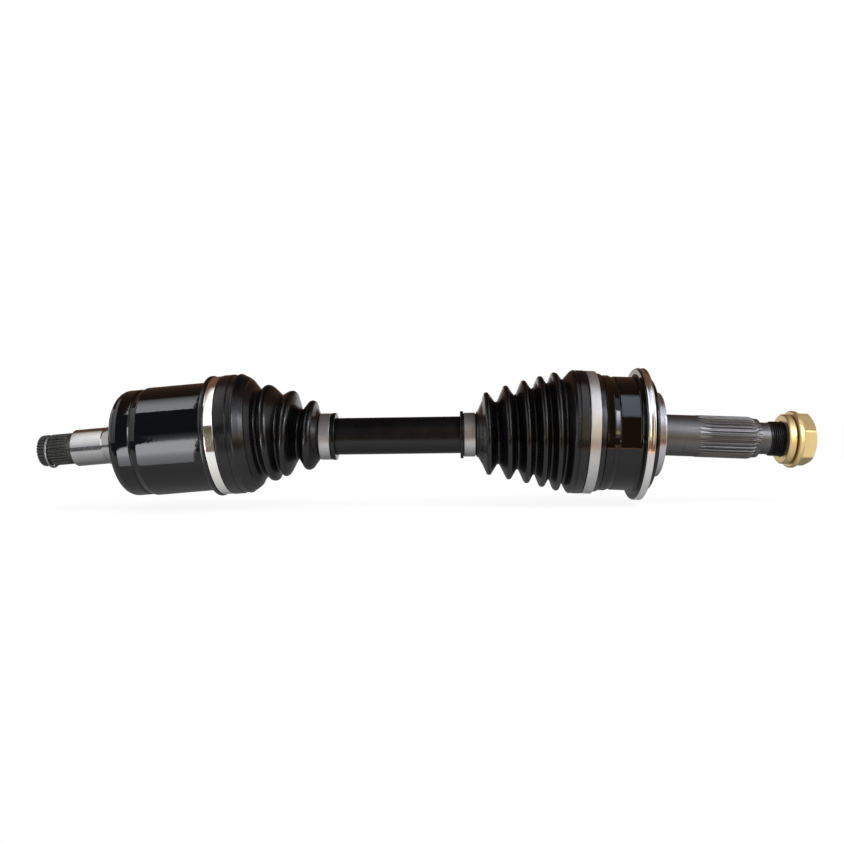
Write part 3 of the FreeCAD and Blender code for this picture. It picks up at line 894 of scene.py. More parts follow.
class Repeats:
    """A Geometry Nodes tree under construction, with named inputs."""

    def __init__(self, name: str) -> None:
        """Start a tree with a geometry output.

        Args:
            name: the tree's name.
        """
        self.tree = bpy.data.node_groups.new(name, "GeometryNodeTree")
        self.tree.interface.new_socket("Geometry", in_out="OUTPUT", socket_type="NodeSocketGeometry")
        self.inside = self.tree.nodes.new("NodeGroupInput")
        self.outside = self.tree.nodes.new("NodeGroupOutput")
        self.values: dict[str, object] = {}

    def number(self, name: str, value: float | int | object, kind: str = "Float") -> bpy.types.NodeSocket:
        """Add a named input.

        Args:
            name: the input's name.
            value: what the modifier gives it.
            kind: Float, Int, Object or Material.

        Returns:
            The input's socket inside the tree.
        """
        made = self.tree.interface.new_socket(
            name, in_out="INPUT", socket_type=f"NodeSocket{kind}"
        )
        self.values[made.identifier] = value
        return self.inside.outputs[name]

    def add(self, kind: str, **settings: object) -> bpy.types.Node:
        """Add a node and set its properties.

        Args:
            kind: the node's type name.
            settings: properties of the node.

        Returns:
            The new node.
        """
        node = self.tree.nodes.new(kind)
        for key, value in settings.items():
            setattr(node, key, value)
        return node

    def join(self, source: bpy.types.NodeSocket, target: bpy.types.NodeSocket) -> None:
        """Link two sockets."""
        self.tree.links.new(source, target)

    def calculate(
        self, operation: str, first: object, second: object = 0.0
    ) -> bpy.types.NodeSocket:
        """One step of arithmetic on sockets or numbers.

        Args:
            operation: the name of the operation.
            first: a socket or a number.
            second: a socket or a number.

        Returns:
            The result's socket.
        """
        node = self.add("ShaderNodeMath", operation=operation)
        for socket, value in zip(node.inputs, (first, second)):
            if isinstance(value, bpy.types.NodeSocket):
                self.join(value, socket)
            else:
                socket.default_value = value
        return node.outputs[0]

    def close(self, geometry: bpy.types.NodeSocket) -> None:
        """Realize the instances, set the material and send the result out.

        Args:
            geometry: what the tree has made.
        """
        material = self.number("Finish", None, "Material")
        realize = self.add("GeometryNodeRealizeInstances")
        painted = self.add("GeometryNodeSetMaterial")
        self.join(geometry, realize.inputs["Geometry"])
        self.join(realize.outputs["Geometry"], painted.inputs["Geometry"])
        self.join(material, painted.inputs["Material"])
        self.join(painted.outputs["Geometry"], self.outside.inputs["Geometry"])

    def grow(self, name: str, finish: Finish, place: Matrix) -> bpy.types.Object:
        """Run the tree and keep the result as a plain mesh in its place.

        Args:
            name: the piece's name.
            finish: its material.
            place: where its own axes stand.

        Returns:
            The new object.
        """
        seed = bpy.data.objects.new(name + "_seed", bpy.data.meshes.new(name + "_seed"))
        bpy.context.scene.collection.objects.link(seed)
        modifier = seed.modifiers.new("Repeats", "NODES")
        modifier.node_group = self.tree
        for item in self.tree.interface.items_tree:
            if item.in_out == "INPUT":
                given = self.values[item.identifier]
                modifier[item.identifier] = finish.made() if item.name == "Finish" else given
        evaluated = seed.evaluated_get(bpy.context.evaluated_depsgraph_get())
        mesh = bpy.data.meshes.new_from_object(evaluated)
        seed.modifiers.remove(modifier)
        bpy.data.objects.remove(seed)
        mesh.name = name
        own = [vertex.co.copy() for vertex in mesh.vertices]
        turned = mesh.attributes.new(GRAIN_NAME, "FLOAT_VECTOR", "POINT")
        turned.data.foreach_set("vector", [value for point in own for value in point])
        mesh.transform(place)
        mesh.shade_smooth()
        mesh.set_sharp_from_angle(angle=TOOTH_SHARP_ANGLE)
        thing = bpy.data.objects.new(name, mesh)
        bpy.context.scene.collection.objects.link(thing)
        return thing


@dataclass
class SplineTeeth:
    """Rolled teeth round a shaft, with rounded tips. Millimetres."""

    teeth: int
    depth: float
    tips: list[Corner]

    def tooth(self) -> bpy.types.Object:
        """One tooth on the axis's upper side, running along x.

        Returns:
            A loose object that the tree repeats.
        """
        tip_radius = self.tips[0].r
        pitch = 2 * math.pi * tip_radius / self.teeth
        root = tip_radius - self.depth
        across = [(-0.37, -0.25), (-0.33, 0.0), (-0.20, 0.86), (-0.13, 1.0)]
        across += [(-share, height) for share, height in reversed(across)]
        vertices = []
        stations = sampled(self.tips, False, 9.0)
        for x, reach, _ in stations:
            rise = reach - root
            for share, height in across:
                y = share * pitch
                z = root - 0.4
                if height >= 0:
                    z = max(math.sqrt((root + height * rise) ** 2 - y * y), z)
                vertices.append((x * MM, y * MM, z * MM))
        width = len(across)
        faces = woven(len(stations), width, False)
        faces.append(tuple(range(width)))
        faces.append(tuple(range(len(vertices) - 1, len(vertices) - 1 - width, -1)))
        return mesh_object("tooth", [Vector(v) for v in vertices], faces, [])

    def build(self, name: str, finish: Finish, place: Matrix) -> bpy.types.Object:
        """Repeat the tooth round the shaft.

        Args:
            name: the piece's name.
            finish: its material.
            place: where its own axes stand.

        Returns:
            The new object.
        """
        tooth = self.tooth()
        tree = Repeats("spline_teeth")
        count = tree.number("Teeth", self.teeth, "Int")
        pattern = tree.number("Tooth", tooth, "Object")
        line = tree.add("GeometryNodeMeshLine")
        line.inputs["Offset"].default_value = (0.0, 0.0, 0.0)
        tree.join(count, line.inputs["Count"])
        shape = tree.add("GeometryNodeObjectInfo")
        tree.join(pattern, shape.inputs["Object"])
        index = tree.add("GeometryNodeInputIndex")
        share = tree.calculate("DIVIDE", index.outputs[0], count)
        angle = tree.calculate("MULTIPLY", share, 2 * math.pi)
        turn = tree.add("ShaderNodeCombineXYZ")
        tree.join(angle, turn.inputs["X"])
        repeat = tree.add("GeometryNodeInstanceOnPoints")
        tree.join(line.outputs["Mesh"], repeat.inputs["Points"])
        tree.join(shape.outputs["Geometry"], repeat.inputs["Instance"])
        tree.join(turn.outputs["Vector"], repeat.inputs["Rotation"])
        tree.close(repeat.outputs["Instances"])
        thing = tree.grow(name, finish, place)
        bpy.data.objects.remove(tooth)
        return thing


@dataclass
class ScrewThread:
    """A helical ridge round a shaft. Millimetres."""

    root_radius: float
    crest_radius: float
    pitch: float
    start: float
    end: float

    def build(self, name: str, finish: Finish, place: Matrix) -> bpy.types.Object:
        """Sweep the ridge along its helix.

        Args:
            name: the piece's name.
            finish: its material.
            place: where its own axes stand.

        Returns:
            The new object.
        """
        length = self.end - self.start
        tree = Repeats("screw_thread")
        turns = tree.number("Turns", (length - self.pitch) / self.pitch)
        middle = tree.number("Pitch Radius", (self.root_radius + self.crest_radius) / 2 * MM)
        rise = tree.number("Length", (length - self.pitch) * MM)
        depth = tree.number("Depth", (self.crest_radius - self.root_radius + 0.1) * MM)
        foot = tree.number("Foot Width", self.pitch * 0.98 * MM)
        crest = tree.number("Crest Width", self.pitch * 0.14 * MM)
        begin = tree.number("Start", (self.start + self.pitch / 2) * MM)
        helix = tree.add("GeometryNodeCurveSpiral")
        helix.inputs["Resolution"].default_value = 72
        for source, target in (
            (turns, "Rotations"),
            (middle, "Start Radius"),
            (middle, "End Radius"),
            (rise, "Height"),
        ):
            tree.join(source, helix.inputs[target])
        upright = tree.add("GeometryNodeSetCurveNormal")
        upright.mode = "Z_UP"
        tree.join(helix.outputs["Curve"], upright.inputs["Curve"])
        ridge = tree.add("GeometryNodeCurvePrimitiveQuadrilateral", mode="TRAPEZOID")
        tree.join(depth, ridge.inputs["Height"])
        tree.join(foot, ridge.inputs["Bottom Width"])
        tree.join(crest, ridge.inputs["Top Width"])
        ridge.inputs["Offset"].default_value = 0.0
        tipped = tree.add("GeometryNodeTransform")
        tipped.inputs["Rotation"].default_value = (0.0, 0.0, math.radians(90.0))
        tree.join(ridge.outputs["Curve"], tipped.inputs["Geometry"])
        sweep = tree.add("GeometryNodeCurveToMesh")
        sweep.inputs["Fill Caps"].default_value = True
        tree.join(upright.outputs["Curve"], sweep.inputs["Curve"])
        tree.join(tipped.outputs["Geometry"], sweep.inputs["Profile Curve"])
        lay = tree.add("GeometryNodeTransform")
        lay.inputs["Rotation"].default_value = (0.0, math.radians(90.0), 0.0)
        shift = tree.add("ShaderNodeCombineXYZ")
        tree.join(begin, shift.inputs["X"])
        tree.join(shift.outputs["Vector"], lay.inputs["Translation"])
        tree.join(sweep.outputs["Mesh"], lay.inputs["Geometry"])
        tree.close(lay.outputs["Geometry"])
        return tree.grow(name, finish, place)


# ---------------------------------------------------------------- sub-assemblies


@dataclass
class BarShaft:
    """The bar between the joints, with a race seat at each end. Millimetres."""

    span: float = 322.0
    bar_radius: float = 14.15
    neck_radius: float = 12.2
    neck_length: float = 66.0
    shoulder_radius: float = 13.2
    seat_radius: float = 12.0
    seat_start: float = -11.52
    groove_radius: float = 10.9
    groove: tuple[float, float] = (11.8, 13.4)
    tip: float = 15.6

    def half(self) -> list[Corner]:
        """Outline from the bar to one tip, about that end's joint centre.

        Returns:
            The corners.
        """
        groove_start, groove_end = self.groove
        return [
            Corner(-self.neck_length, self.bar_radius, 2.0),
            Corner(-self.neck_length + 6.0, self.neck_radius, 2.0),
            Corner(-17.0, self.neck_radius, 0.8),
            Corner(-16.0, self.shoulder_radius, 0.2),
            Corner(self.seat_start, self.shoulder_radius, 0.0),
            Corner(self.seat_start, self.seat_radius, 0.0),
            Corner(groove_start, self.seat_radius, 0.2),
            Corner(groove_start, self.groove_radius, 0.1),
            Corner(groove_end, self.groove_radius, 0.1),
            Corner(groove_end, self.seat_radius, 0.2),
            Corner(self.tip, self.seat_radius, 0.9),
            Corner(self.tip, 0.0, 0.0),
        ]

    def build(self) -> None:
        """Make the shaft."""
        right = [Corner(c.x + self.span / 2, c.r, c.rounding) for c in self.half()]
        left = [Corner(-c.x, c.r, c.rounding) for c in reversed(right)]
        turned = Turned(left + right, [Finish.SATIN_BLACK])
        piece = Piece("bar_shaft", "shaft", "shaft_paint", ("axle_shaft",))
        piece.thing = turned.build(piece.name, Matrix.Identity(4))
        piece.settle()


@dataclass
class WheelEnd:
    """Bell, deflector, wheel stub, washer and nut. Millimetres from the joint's centre."""

    joint: Joint
    seat_radius: float = 42.5  # under the boot
    lip_radius: float = 43.9
    body_radius: float = 43.2
    cavity_radius: float = 39.2
    cavity_floor: float = 28.0
    mouth: float = -18.5
    flange: float = 20.1
    flange_radius: float = 49.5
    back: float = 31.3
    back_radius: float = 42.9
    shoulder: float = 38.7
    shoulder_radius: float = 32.0
    journal_radius: float = 15.65
    journal_end: float = 67.3
    spline_teeth: int = 30
    spline_depth: float = 1.35
    spline_radius: float = 15.9
    spline_root: float = 14.55
    spline_end: float = 112.4
    spline_end_radius: float = 12.9
    neck_radius: float = 12.0
    thread: ScrewThread = field(default_factory=lambda: ScrewThread(12.2, 13.0, 1.5, 121.1, 148.8))
    tip: float = 149.2
    ring_radius: float = 50.1
    ring_width: float = 5.3
    washer_start: float = 130.7
    washer_width: float = 5.3
    washer_radius: float = 18.7
    bore_radius: float = 13.05
    nut_start: float = 136.7
    nut_height: float = 14.2
    nut_flange_radius: float = 21.4
    nut_crown_radius: float = 16.5
    across_flats: float = 35.0
    corner_angle: float = 160.3

    def teeth(self) -> SplineTeeth:
        """Teeth of the wheel spline, whose free end is domed.

        Returns:
            The teeth.
        """
        tips = [
            Corner(self.journal_end, self.spline_radius, 0.0),
            Corner(106.9, self.spline_radius, 6.0),
            Corner(self.spline_end, self.spline_end_radius, 0.0),
        ]
        return SplineTeeth(self.spline_teeth, self.spline_depth, tips)

    def cavity(self) -> list[Corner]:
        """Ball-shaped hollow from its floor to the mouth.

        Returns:
            The corners.
        """
        floor, step = self.cavity_floor, 3.4
        corners = [Corner(floor, 0.0, 0.0), Corner(floor, 27.4, 0.5)]
        for number in range(1, 13):
            x = floor - number * step
            corners.append(Corner(x, math.sqrt(self.cavity_radius**2 - x * x), 0.0))
        return corners + [Corner(self.mouth, 38.0, 0.3)]

    def outline(self) -> list[Corner]:
        """Bell and stub, from the mouth to the threaded tip.

        Returns:
            The corners.
        """
        black, machined, bare, oxide = 0, 1, 2, 3
        return self.cavity() + [
            Corner(self.mouth, self.seat_radius, 0.8, black),
            Corner(-6.0, self.seat_radius, 0.2, black),
            Corner(-6.0, self.lip_radius, 0.5, black),
            Corner(-0.4, self.lip_radius, 0.5, black),
            Corner(-0.1, 43.5, 0.3, black),
            Corner(3.2, self.seat_radius, 0.4, black),
            Corner(3.9, self.body_radius, 0.3, black),
            Corner(self.flange, self.body_radius, 6.4, black),
            Corner(self.flange, self.flange_radius, 0.4, black),
            Corner(self.flange + 1.1, self.flange_radius, 0.4, black),
            Corner(self.flange + 1.1, self.back_radius, 0.1, black),
            Corner(self.back, self.back_radius, 1.8, black),
            Corner(32.7, self.shoulder_radius, 0.6, machined),
            Corner(self.shoulder, self.shoulder_radius, 0.6, machined),
            Corner(self.shoulder, self.journal_radius, 1.5, bare),
            Corner(self.journal_end, self.journal_radius, 0.3, bare),
            Corner(self.journal_end + 8.0, self.spline_root, 2.0, bare),
            Corner(109.4, self.spline_root, 1.0, bare),
            Corner(self.spline_end, self.spline_end_radius, 0.2, bare),
            Corner(113.0, self.neck_radius, 0.5, bare),
            Corner(119.9, self.neck_radius, 0.3, oxide),
            Corner(120.5, self.thread.root_radius, 0.1, oxide),
            Corner(148.6, self.thread.root_radius, 0.8, oxide),
            Corner(self.tip, 11.4, 0.2, oxide),
            Corner(self.tip, 0.0, 0.0, oxide),
        ]

    def ring(self) -> list[Corner]:
        """Dust deflector, with a hollow back and a slightly sunk rim.

        Returns:
            The corners.
        """
        start, rim = self.flange + 1.1, self.ring_radius
        end = start + self.ring_width
        bore = self.back_radius + 0.02
        return [
            Corner(start, bore, 0.1),
            Corner(start, rim, 0.9),
            Corner(start + 1.2, rim, 0.4),
            Corner(start + 1.9, rim - 0.22, 0.8),
            Corner(end - 1.9, rim - 0.22, 0.8),
            Corner(end - 1.2, rim, 0.4),
            Corner(end, rim, 0.9),
            Corner(end, rim - 1.6, 0.3),
            Corner(start + 1.6, rim - 2.4, 0.6),
            Corner(start + 1.6, 45.0, 0.6),
            Corner(end - 0.6, 44.5, 0.3),
            Corner(end - 0.6, bore, 0.1),
        ]

    def washer(self) -> list[Corner]:
        """Washer with chamfered edges.

        Returns:
            The corners.
        """
        start, end = self.washer_start, self.washer_start + self.washer_width
        return [
            Corner(start, 13.6, 0.1),
            Corner(start, 17.9, 0.2),
            Corner(start + 0.8, self.washer_radius, 0.2),
            Corner(end, self.washer_radius, 0.6),
            Corner(end, 13.6, 0.1),
            Corner(end - 0.5, self.bore_radius, 0.1),
            Corner(start + 0.5, self.bore_radius, 0.1),
        ]

    def nut(self) -> HexTurned:
        """Flanged nut: the outline's second zone is cut to a hexagon.

        Returns:
            The nut.
        """
        start, end = self.nut_start, self.nut_start + self.nut_height
        corners = [
            Corner(start, 14.0, 0.1, 0),
            Corner(start, self.nut_flange_radius, 0.8, 0),
            Corner(start + 3.0, self.nut_flange_radius, 0.9, 0),
            Corner(start + 3.7, 20.8, 0.3, 0),
            Corner(start + 3.9, 20.4, 0.1, 1),
            Corner(end - 2.6, 21.3, 0.5, 1),
            Corner(end, self.nut_crown_radius, 0.4, 1),
            Corner(end, 14.3, 0.2, 0),
            Corner(end - 1.25, self.bore_radius, 0.1, 0),
            Corner(start + 0.95, self.bore_radius, 0.1, 0),
        ]
        return HexTurned(
            corners,
            [Finish.YELLOW_ZINC],
            loop=True,
            segments=360,
            across_flats=self.across_flats,
            corner_angle=self.corner_angle,
        )

    def build(self) -> None:
        """Make every piece of the wheel end."""
        place = self.joint.housing.matrix()
        bell = [Finish.GLOSS_BLACK, Finish.TURNED_STEEL, Finish.PHOSPHATE, Finish.BLACK_OXIDE]
        shells = [
            (
                Piece("bell_and_stub", "wheel_stub", "housing_paint", ("outer_joint_housing",)),
                Turned(self.outline(), bell),
            ),
            (
                Piece("deflector_ring", "wheel_stub", "zinc", ("dust_deflector",)),
                Turned(self.ring(), [Finish.ZINC], True, 224),
            ),
            (
                Piece("washer_ring", "washer", "yellow_zinc", ("hub_washer",)),
                Turned(self.washer(), [Finish.YELLOW_ZINC], True),
            ),
            (Piece("flange_nut", "nut", "yellow_zinc", ("hub_nut",)), self.nut()),
        ]
        for piece, turned in shells:
            piece.thing = turned.build(piece.name, place)
            piece.settle()
        teeth = Piece("wheel_spline_teeth", "wheel_stub", "housing_paint")
        teeth.thing = self.teeth().build(teeth.name, Finish.PHOSPHATE, place)
        teeth.settle()
        ridge = Piece("wheel_thread", "wheel_stub", "housing_paint")
        ridge.thing = self.thread.build(ridge.name, Finish.BLACK_OXIDE, place)
        ridge.settle()


@dataclass
class DifferentialEnd:
    """Housing of the plunging joint with its stub and circlip. Millimetres from the centre."""

    joint: Joint
    seat_radius: float = 41.2  # under the boot
    barrel_radius: float = 41.9
    band_radius: float = 40.9
    bore_radius: float = 36.2
    mouth: float = -37.0
    collar: float = 53.0
    collar_radius: float = 18.8
    neck_radius: float = 17.8
    journal_radius: float = 14.2
    spline_start: float = 91.3
    spline_end: float = 114.7
    spline_teeth: int = 27
    spline_radius: float = 12.1
    spline_root: float = 11.0
    spline_depth: float = 1.1
    groove_radius: float = 10.0
    groove: tuple[float, float] = (106.3, 108.7)
    tip: float = 115.1
    clip_place: float = 107.5
    clip_radius: float = 12.0
    clip_wire: float = 0.9
    clip_drop: float = 1.05
    clip_opening: float = 50.0

    def outline(self) -> list[Corner]:
        """Barrel, dome and stub, from the bore's floor round the mouth to the stub's tip.

        Returns:
            The corners.
        """
        black, machined, ground, bare = 0, 1, 2, 3
        groove_start, groove_end = self.groove
        return [
            Corner(34.0, 0.0, 0.0, black),
            Corner(34.0, self.bore_radius, 1.5, black),
            Corner(self.mouth + 2.0, self.bore_radius, 0.5, black),
            Corner(self.mouth, self.bore_radius + 1.6, 0.3, black),
            Corner(self.mouth, self.seat_radius, 0.8, black),
            Corner(-22.2, self.seat_radius, 0.2, black),
            Corner(-21.7, self.barrel_radius, 0.3, black),
            Corner(25.6, self.barrel_radius, 3.0, black),
            Corner(30.3, 40.1, 0.3, black),
            Corner(31.1, self.band_radius, 0.4, black),
            Corner(47.0, self.band_radius, 13.0, black),
            Corner(50.2, self.neck_radius, 2.0, machined),
            Corner(self.collar, self.neck_radius, 0.3, machined),
            Corner(self.collar, self.collar_radius, 0.2, machined),
            Corner(55.2, 18.3, 0.3, machined),
            Corner(55.3, 17.1, 0.2, ground),
            Corner(62.8, self.journal_radius, 5.0, ground),
            Corner(87.0, self.journal_radius, 0.3, bare),
            Corner(88.7, 12.2, 0.3, bare),
            Corner(90.7, 11.9, 0.2, bare),
            Corner(93.8, self.spline_root, 0.6, bare),
            Corner(groove_start, self.spline_root, 0.1, bare),
            Corner(groove_start, self.groove_radius, 0.1, bare),
            Corner(groove_end, self.groove_radius, 0.1, bare),
            Corner(groove_end, self.spline_root, 0.1, bare),
            Corner(114.1, self.spline_root, 0.4, bare),
            Corner(self.tip, 7.3, 0.3, bare),
            Corner(self.tip, 0.0, 0.0, bare),
        ]

    def circlip(self, name: str, place: Matrix) -> bpy.types.Object:
        """Open wire ring that has dropped onto the floor of its groove.

        Args:
            name: the piece's name.
            place: where its own axes stand.

        Returns:
            The new object.
        """
        around, across = 120, 16
        gap = math.radians(self.clip_opening)
        points = []
        for step in range(around + 1):
            angle = gap / 2 + (2 * math.pi - gap) * step / around
            radial = Vector((0.0, math.sin(angle), math.cos(angle)))
            for number in range(across):
                turn = 2 * math.pi * number / across
                reach = self.clip_radius + self.clip_wire * math.cos(turn)
                along = self.clip_place + self.clip_wire * math.sin(turn)
                spot = radial * reach + Vector((along, 0.0, -self.clip_drop))
                points.append(spot * MM)
        faces = woven(around + 1, across, False)
        faces.append(tuple(range(across)))
        faces.append(tuple(range(len(points) - 1, len(points) - 1 - across, -1)))
        placed = [place @ point for point in points]
        return mesh_object(name, placed, faces, [Finish.SPRING_STEEL], None, points)

    def build(self) -> None:
        """Make every piece of the differential end."""
        place = self.joint.housing.matrix()
        barrel = [Finish.GLOSS_BLACK, Finish.TURNED_STEEL, Finish.GROUND_STEEL, Finish.OILED_STEEL]
        shell = Piece("barrel_and_stub", "diff_stub", "housing_paint", ("inner_joint_housing",))
        shell.thing = Turned(self.outline(), barrel).build(shell.name, place)
        shell.settle()
        runs = [
            ("long", self.spline_start, self.clip_place - 1.2, 0.3),
            ("short", self.clip_place + 1.2, self.spline_end, 1.6),
        ]
        for name, start, end, rounding in runs:
            tips = [
                Corner(start, self.spline_radius, 0.0),
                Corner(end, self.spline_radius, rounding),
                Corner(end, self.spline_radius - 4.0, 0.0),
            ]
            piece = Piece(f"diff_spline_{name}", "diff_stub", "housing_paint")
            teeth = SplineTeeth(self.spline_teeth, self.spline_depth, tips)
            piece.thing = teeth.build(piece.name, Finish.OILED_STEEL, place)
            piece.settle()
        clip = Piece("stub_circlip", "diff_stub", "spring_steel", ("diff_circlip",))
        clip.thing = self.circlip(clip.name, place)
        clip.settle()


@dataclass
class BandClamp:
    """Steel band with one crimped ear. Millimetres; the ear stands up before it is turned."""

    name: str
    node: str
    body: str
    seat: Seat
    start: float
    width: float
    radius: float
    ear_turn: float
    finish: Finish = Finish.BAND_STEEL
    wall: float = 0.8

    def ear(self) -> bpy.types.Object:
        """The pinched loop of the band.

        Returns:
            The ear's object.
        """
        path = [(-4.6, -0.35), (-2.6, -0.15), (-1.5, 0.5), (-1.45, 1.2), (-2.2, 1.9), (-2.1, 2.5)]
        path += [(-1.2, 2.75), (0.0, 2.8)]
        path += [(-across, height) for across, height in reversed(path[:-1])]
        line = [
            Vector((across, math.sqrt(self.radius**2 - across**2) + height)) for across, height in path
        ]
        smooth: list[Vector] = []
        for index in range(len(line) - 1):
            before = line[max(index - 1, 0)]
            here, after = line[index], line[index + 1]
            beyond = line[min(index + 2, len(line) - 1)]
            for number in range(5):
                t = number / 5
                smooth.append(
                    0.5
                    * (
                        2 * here
                        + (after - before) * t
                        + (2 * before - 5 * here + 4 * after - beyond) * t**2
                        + (3 * here - before - 3 * after + beyond) * t**3
                    )
                )
        smooth.append(line[-1])
        near, far = self.start + 0.08 * self.width, self.start + 0.92 * self.width
        half = self.wall * 0.42
        points, faces = [], []
        for index, spot in enumerate(smooth):
            ahead = smooth[min(index + 1, len(smooth) - 1)] - smooth[max(index - 1, 0)]
            normal = Vector((-ahead.y, ahead.x)).normalized() * half
            for side in (spot + normal, spot - normal):
                for x in (near, far):
                    points.append(Vector((x, side.x, side.y)) * MM)
        for index in range(len(smooth) - 1):
            a, b = index * 4, index * 4 + 4
            faces += [(a, a + 1, b + 1, b), (a + 3, a + 2, b + 2, b + 3)]
            faces += [(a + 2, a, b, b + 2), (a + 1, a + 3, b + 3, b + 1)]
        faces += [(0, 2, 3, 1), (len(points) - 4, len(points) - 3, len(points) - 1, len(points) - 2)]
        place = self.seat.matrix() @ Matrix.Rotation(math.radians(self.ear_turn), 4, "X")
        placed = [place @ point for point in points]
        return mesh_object(f"{self.name}_ear", placed, faces, [self.finish], None, points)

    def build(self) -> None:
        """Make the band and its ear."""
        inside, end = self.radius - self.wall, self.start + self.width
        corners = [
            Corner(self.start, inside, 0.05),
            Corner(self.start, self.radius, 0.35),
            Corner(end, self.radius, 0.35),
            Corner(end, inside, 0.05),
        ]
        band = Piece(f"{self.name}_band", self.body, "stainless", (self.node,))
        turned = Turned(corners, [self.finish], loop=True, segments=200)
        band.thing = turned.build(band.name, self.seat.matrix())
        band.settle()
        ear = Piece(f"{self.name}_ear", self.body, "stainless")
        ear.thing = self.ear()
        ear.settle()


def clamps(wheel: Joint, differential: Joint) -> list[BandClamp]:
    """The four clamps, whose ears stand on the far side.

    Args:
        wheel: the wheel-end joint.
        differential: the differential-end joint.

    Returns:
        The clamps.
    """
    ear_turn = 95.0
    return [
        BandClamp(
            "wheel_large_clamp",
            "outer_large_clamp",
            "wheel_stub",
            wheel.housing,
            start=-18.0,
            width=7.4,
            radius=46.8,
            ear_turn=-ear_turn,
        ),
        BandClamp(
            "wheel_small_clamp",
            "outer_small_clamp",
            "shaft",
            wheel.bar,
            start=-107.8,
            width=8.6,
            radius=16.9,
            ear_turn=-ear_turn,
        ),
        BandClamp(
            "diff_large_clamp",
            "inner_large_clamp",
            "diff_stub",
            differential.housing,
            start=-33.3,
            width=6.9,
            radius=45.7,
            ear_turn=ear_turn,
            finish=Finish.POLISHED_BAND,
        ),
        BandClamp(
            "diff_small_clamp",
            "inner_small_clamp",
            "shaft",
            differential.bar,
            start=-112.6,
            width=8.2,
            radius=17.9,
            ear_turn=ear_turn,
        ),
    ]


@dataclass
class Stretch:
    """One length of a boot: two cuts, two bodies and a span along one joint. Millimetres."""

    name: str
    first_body: str
    second_body: str
    cut_from: float
    cut_to: float
    bend_from: float
    bend_to: float


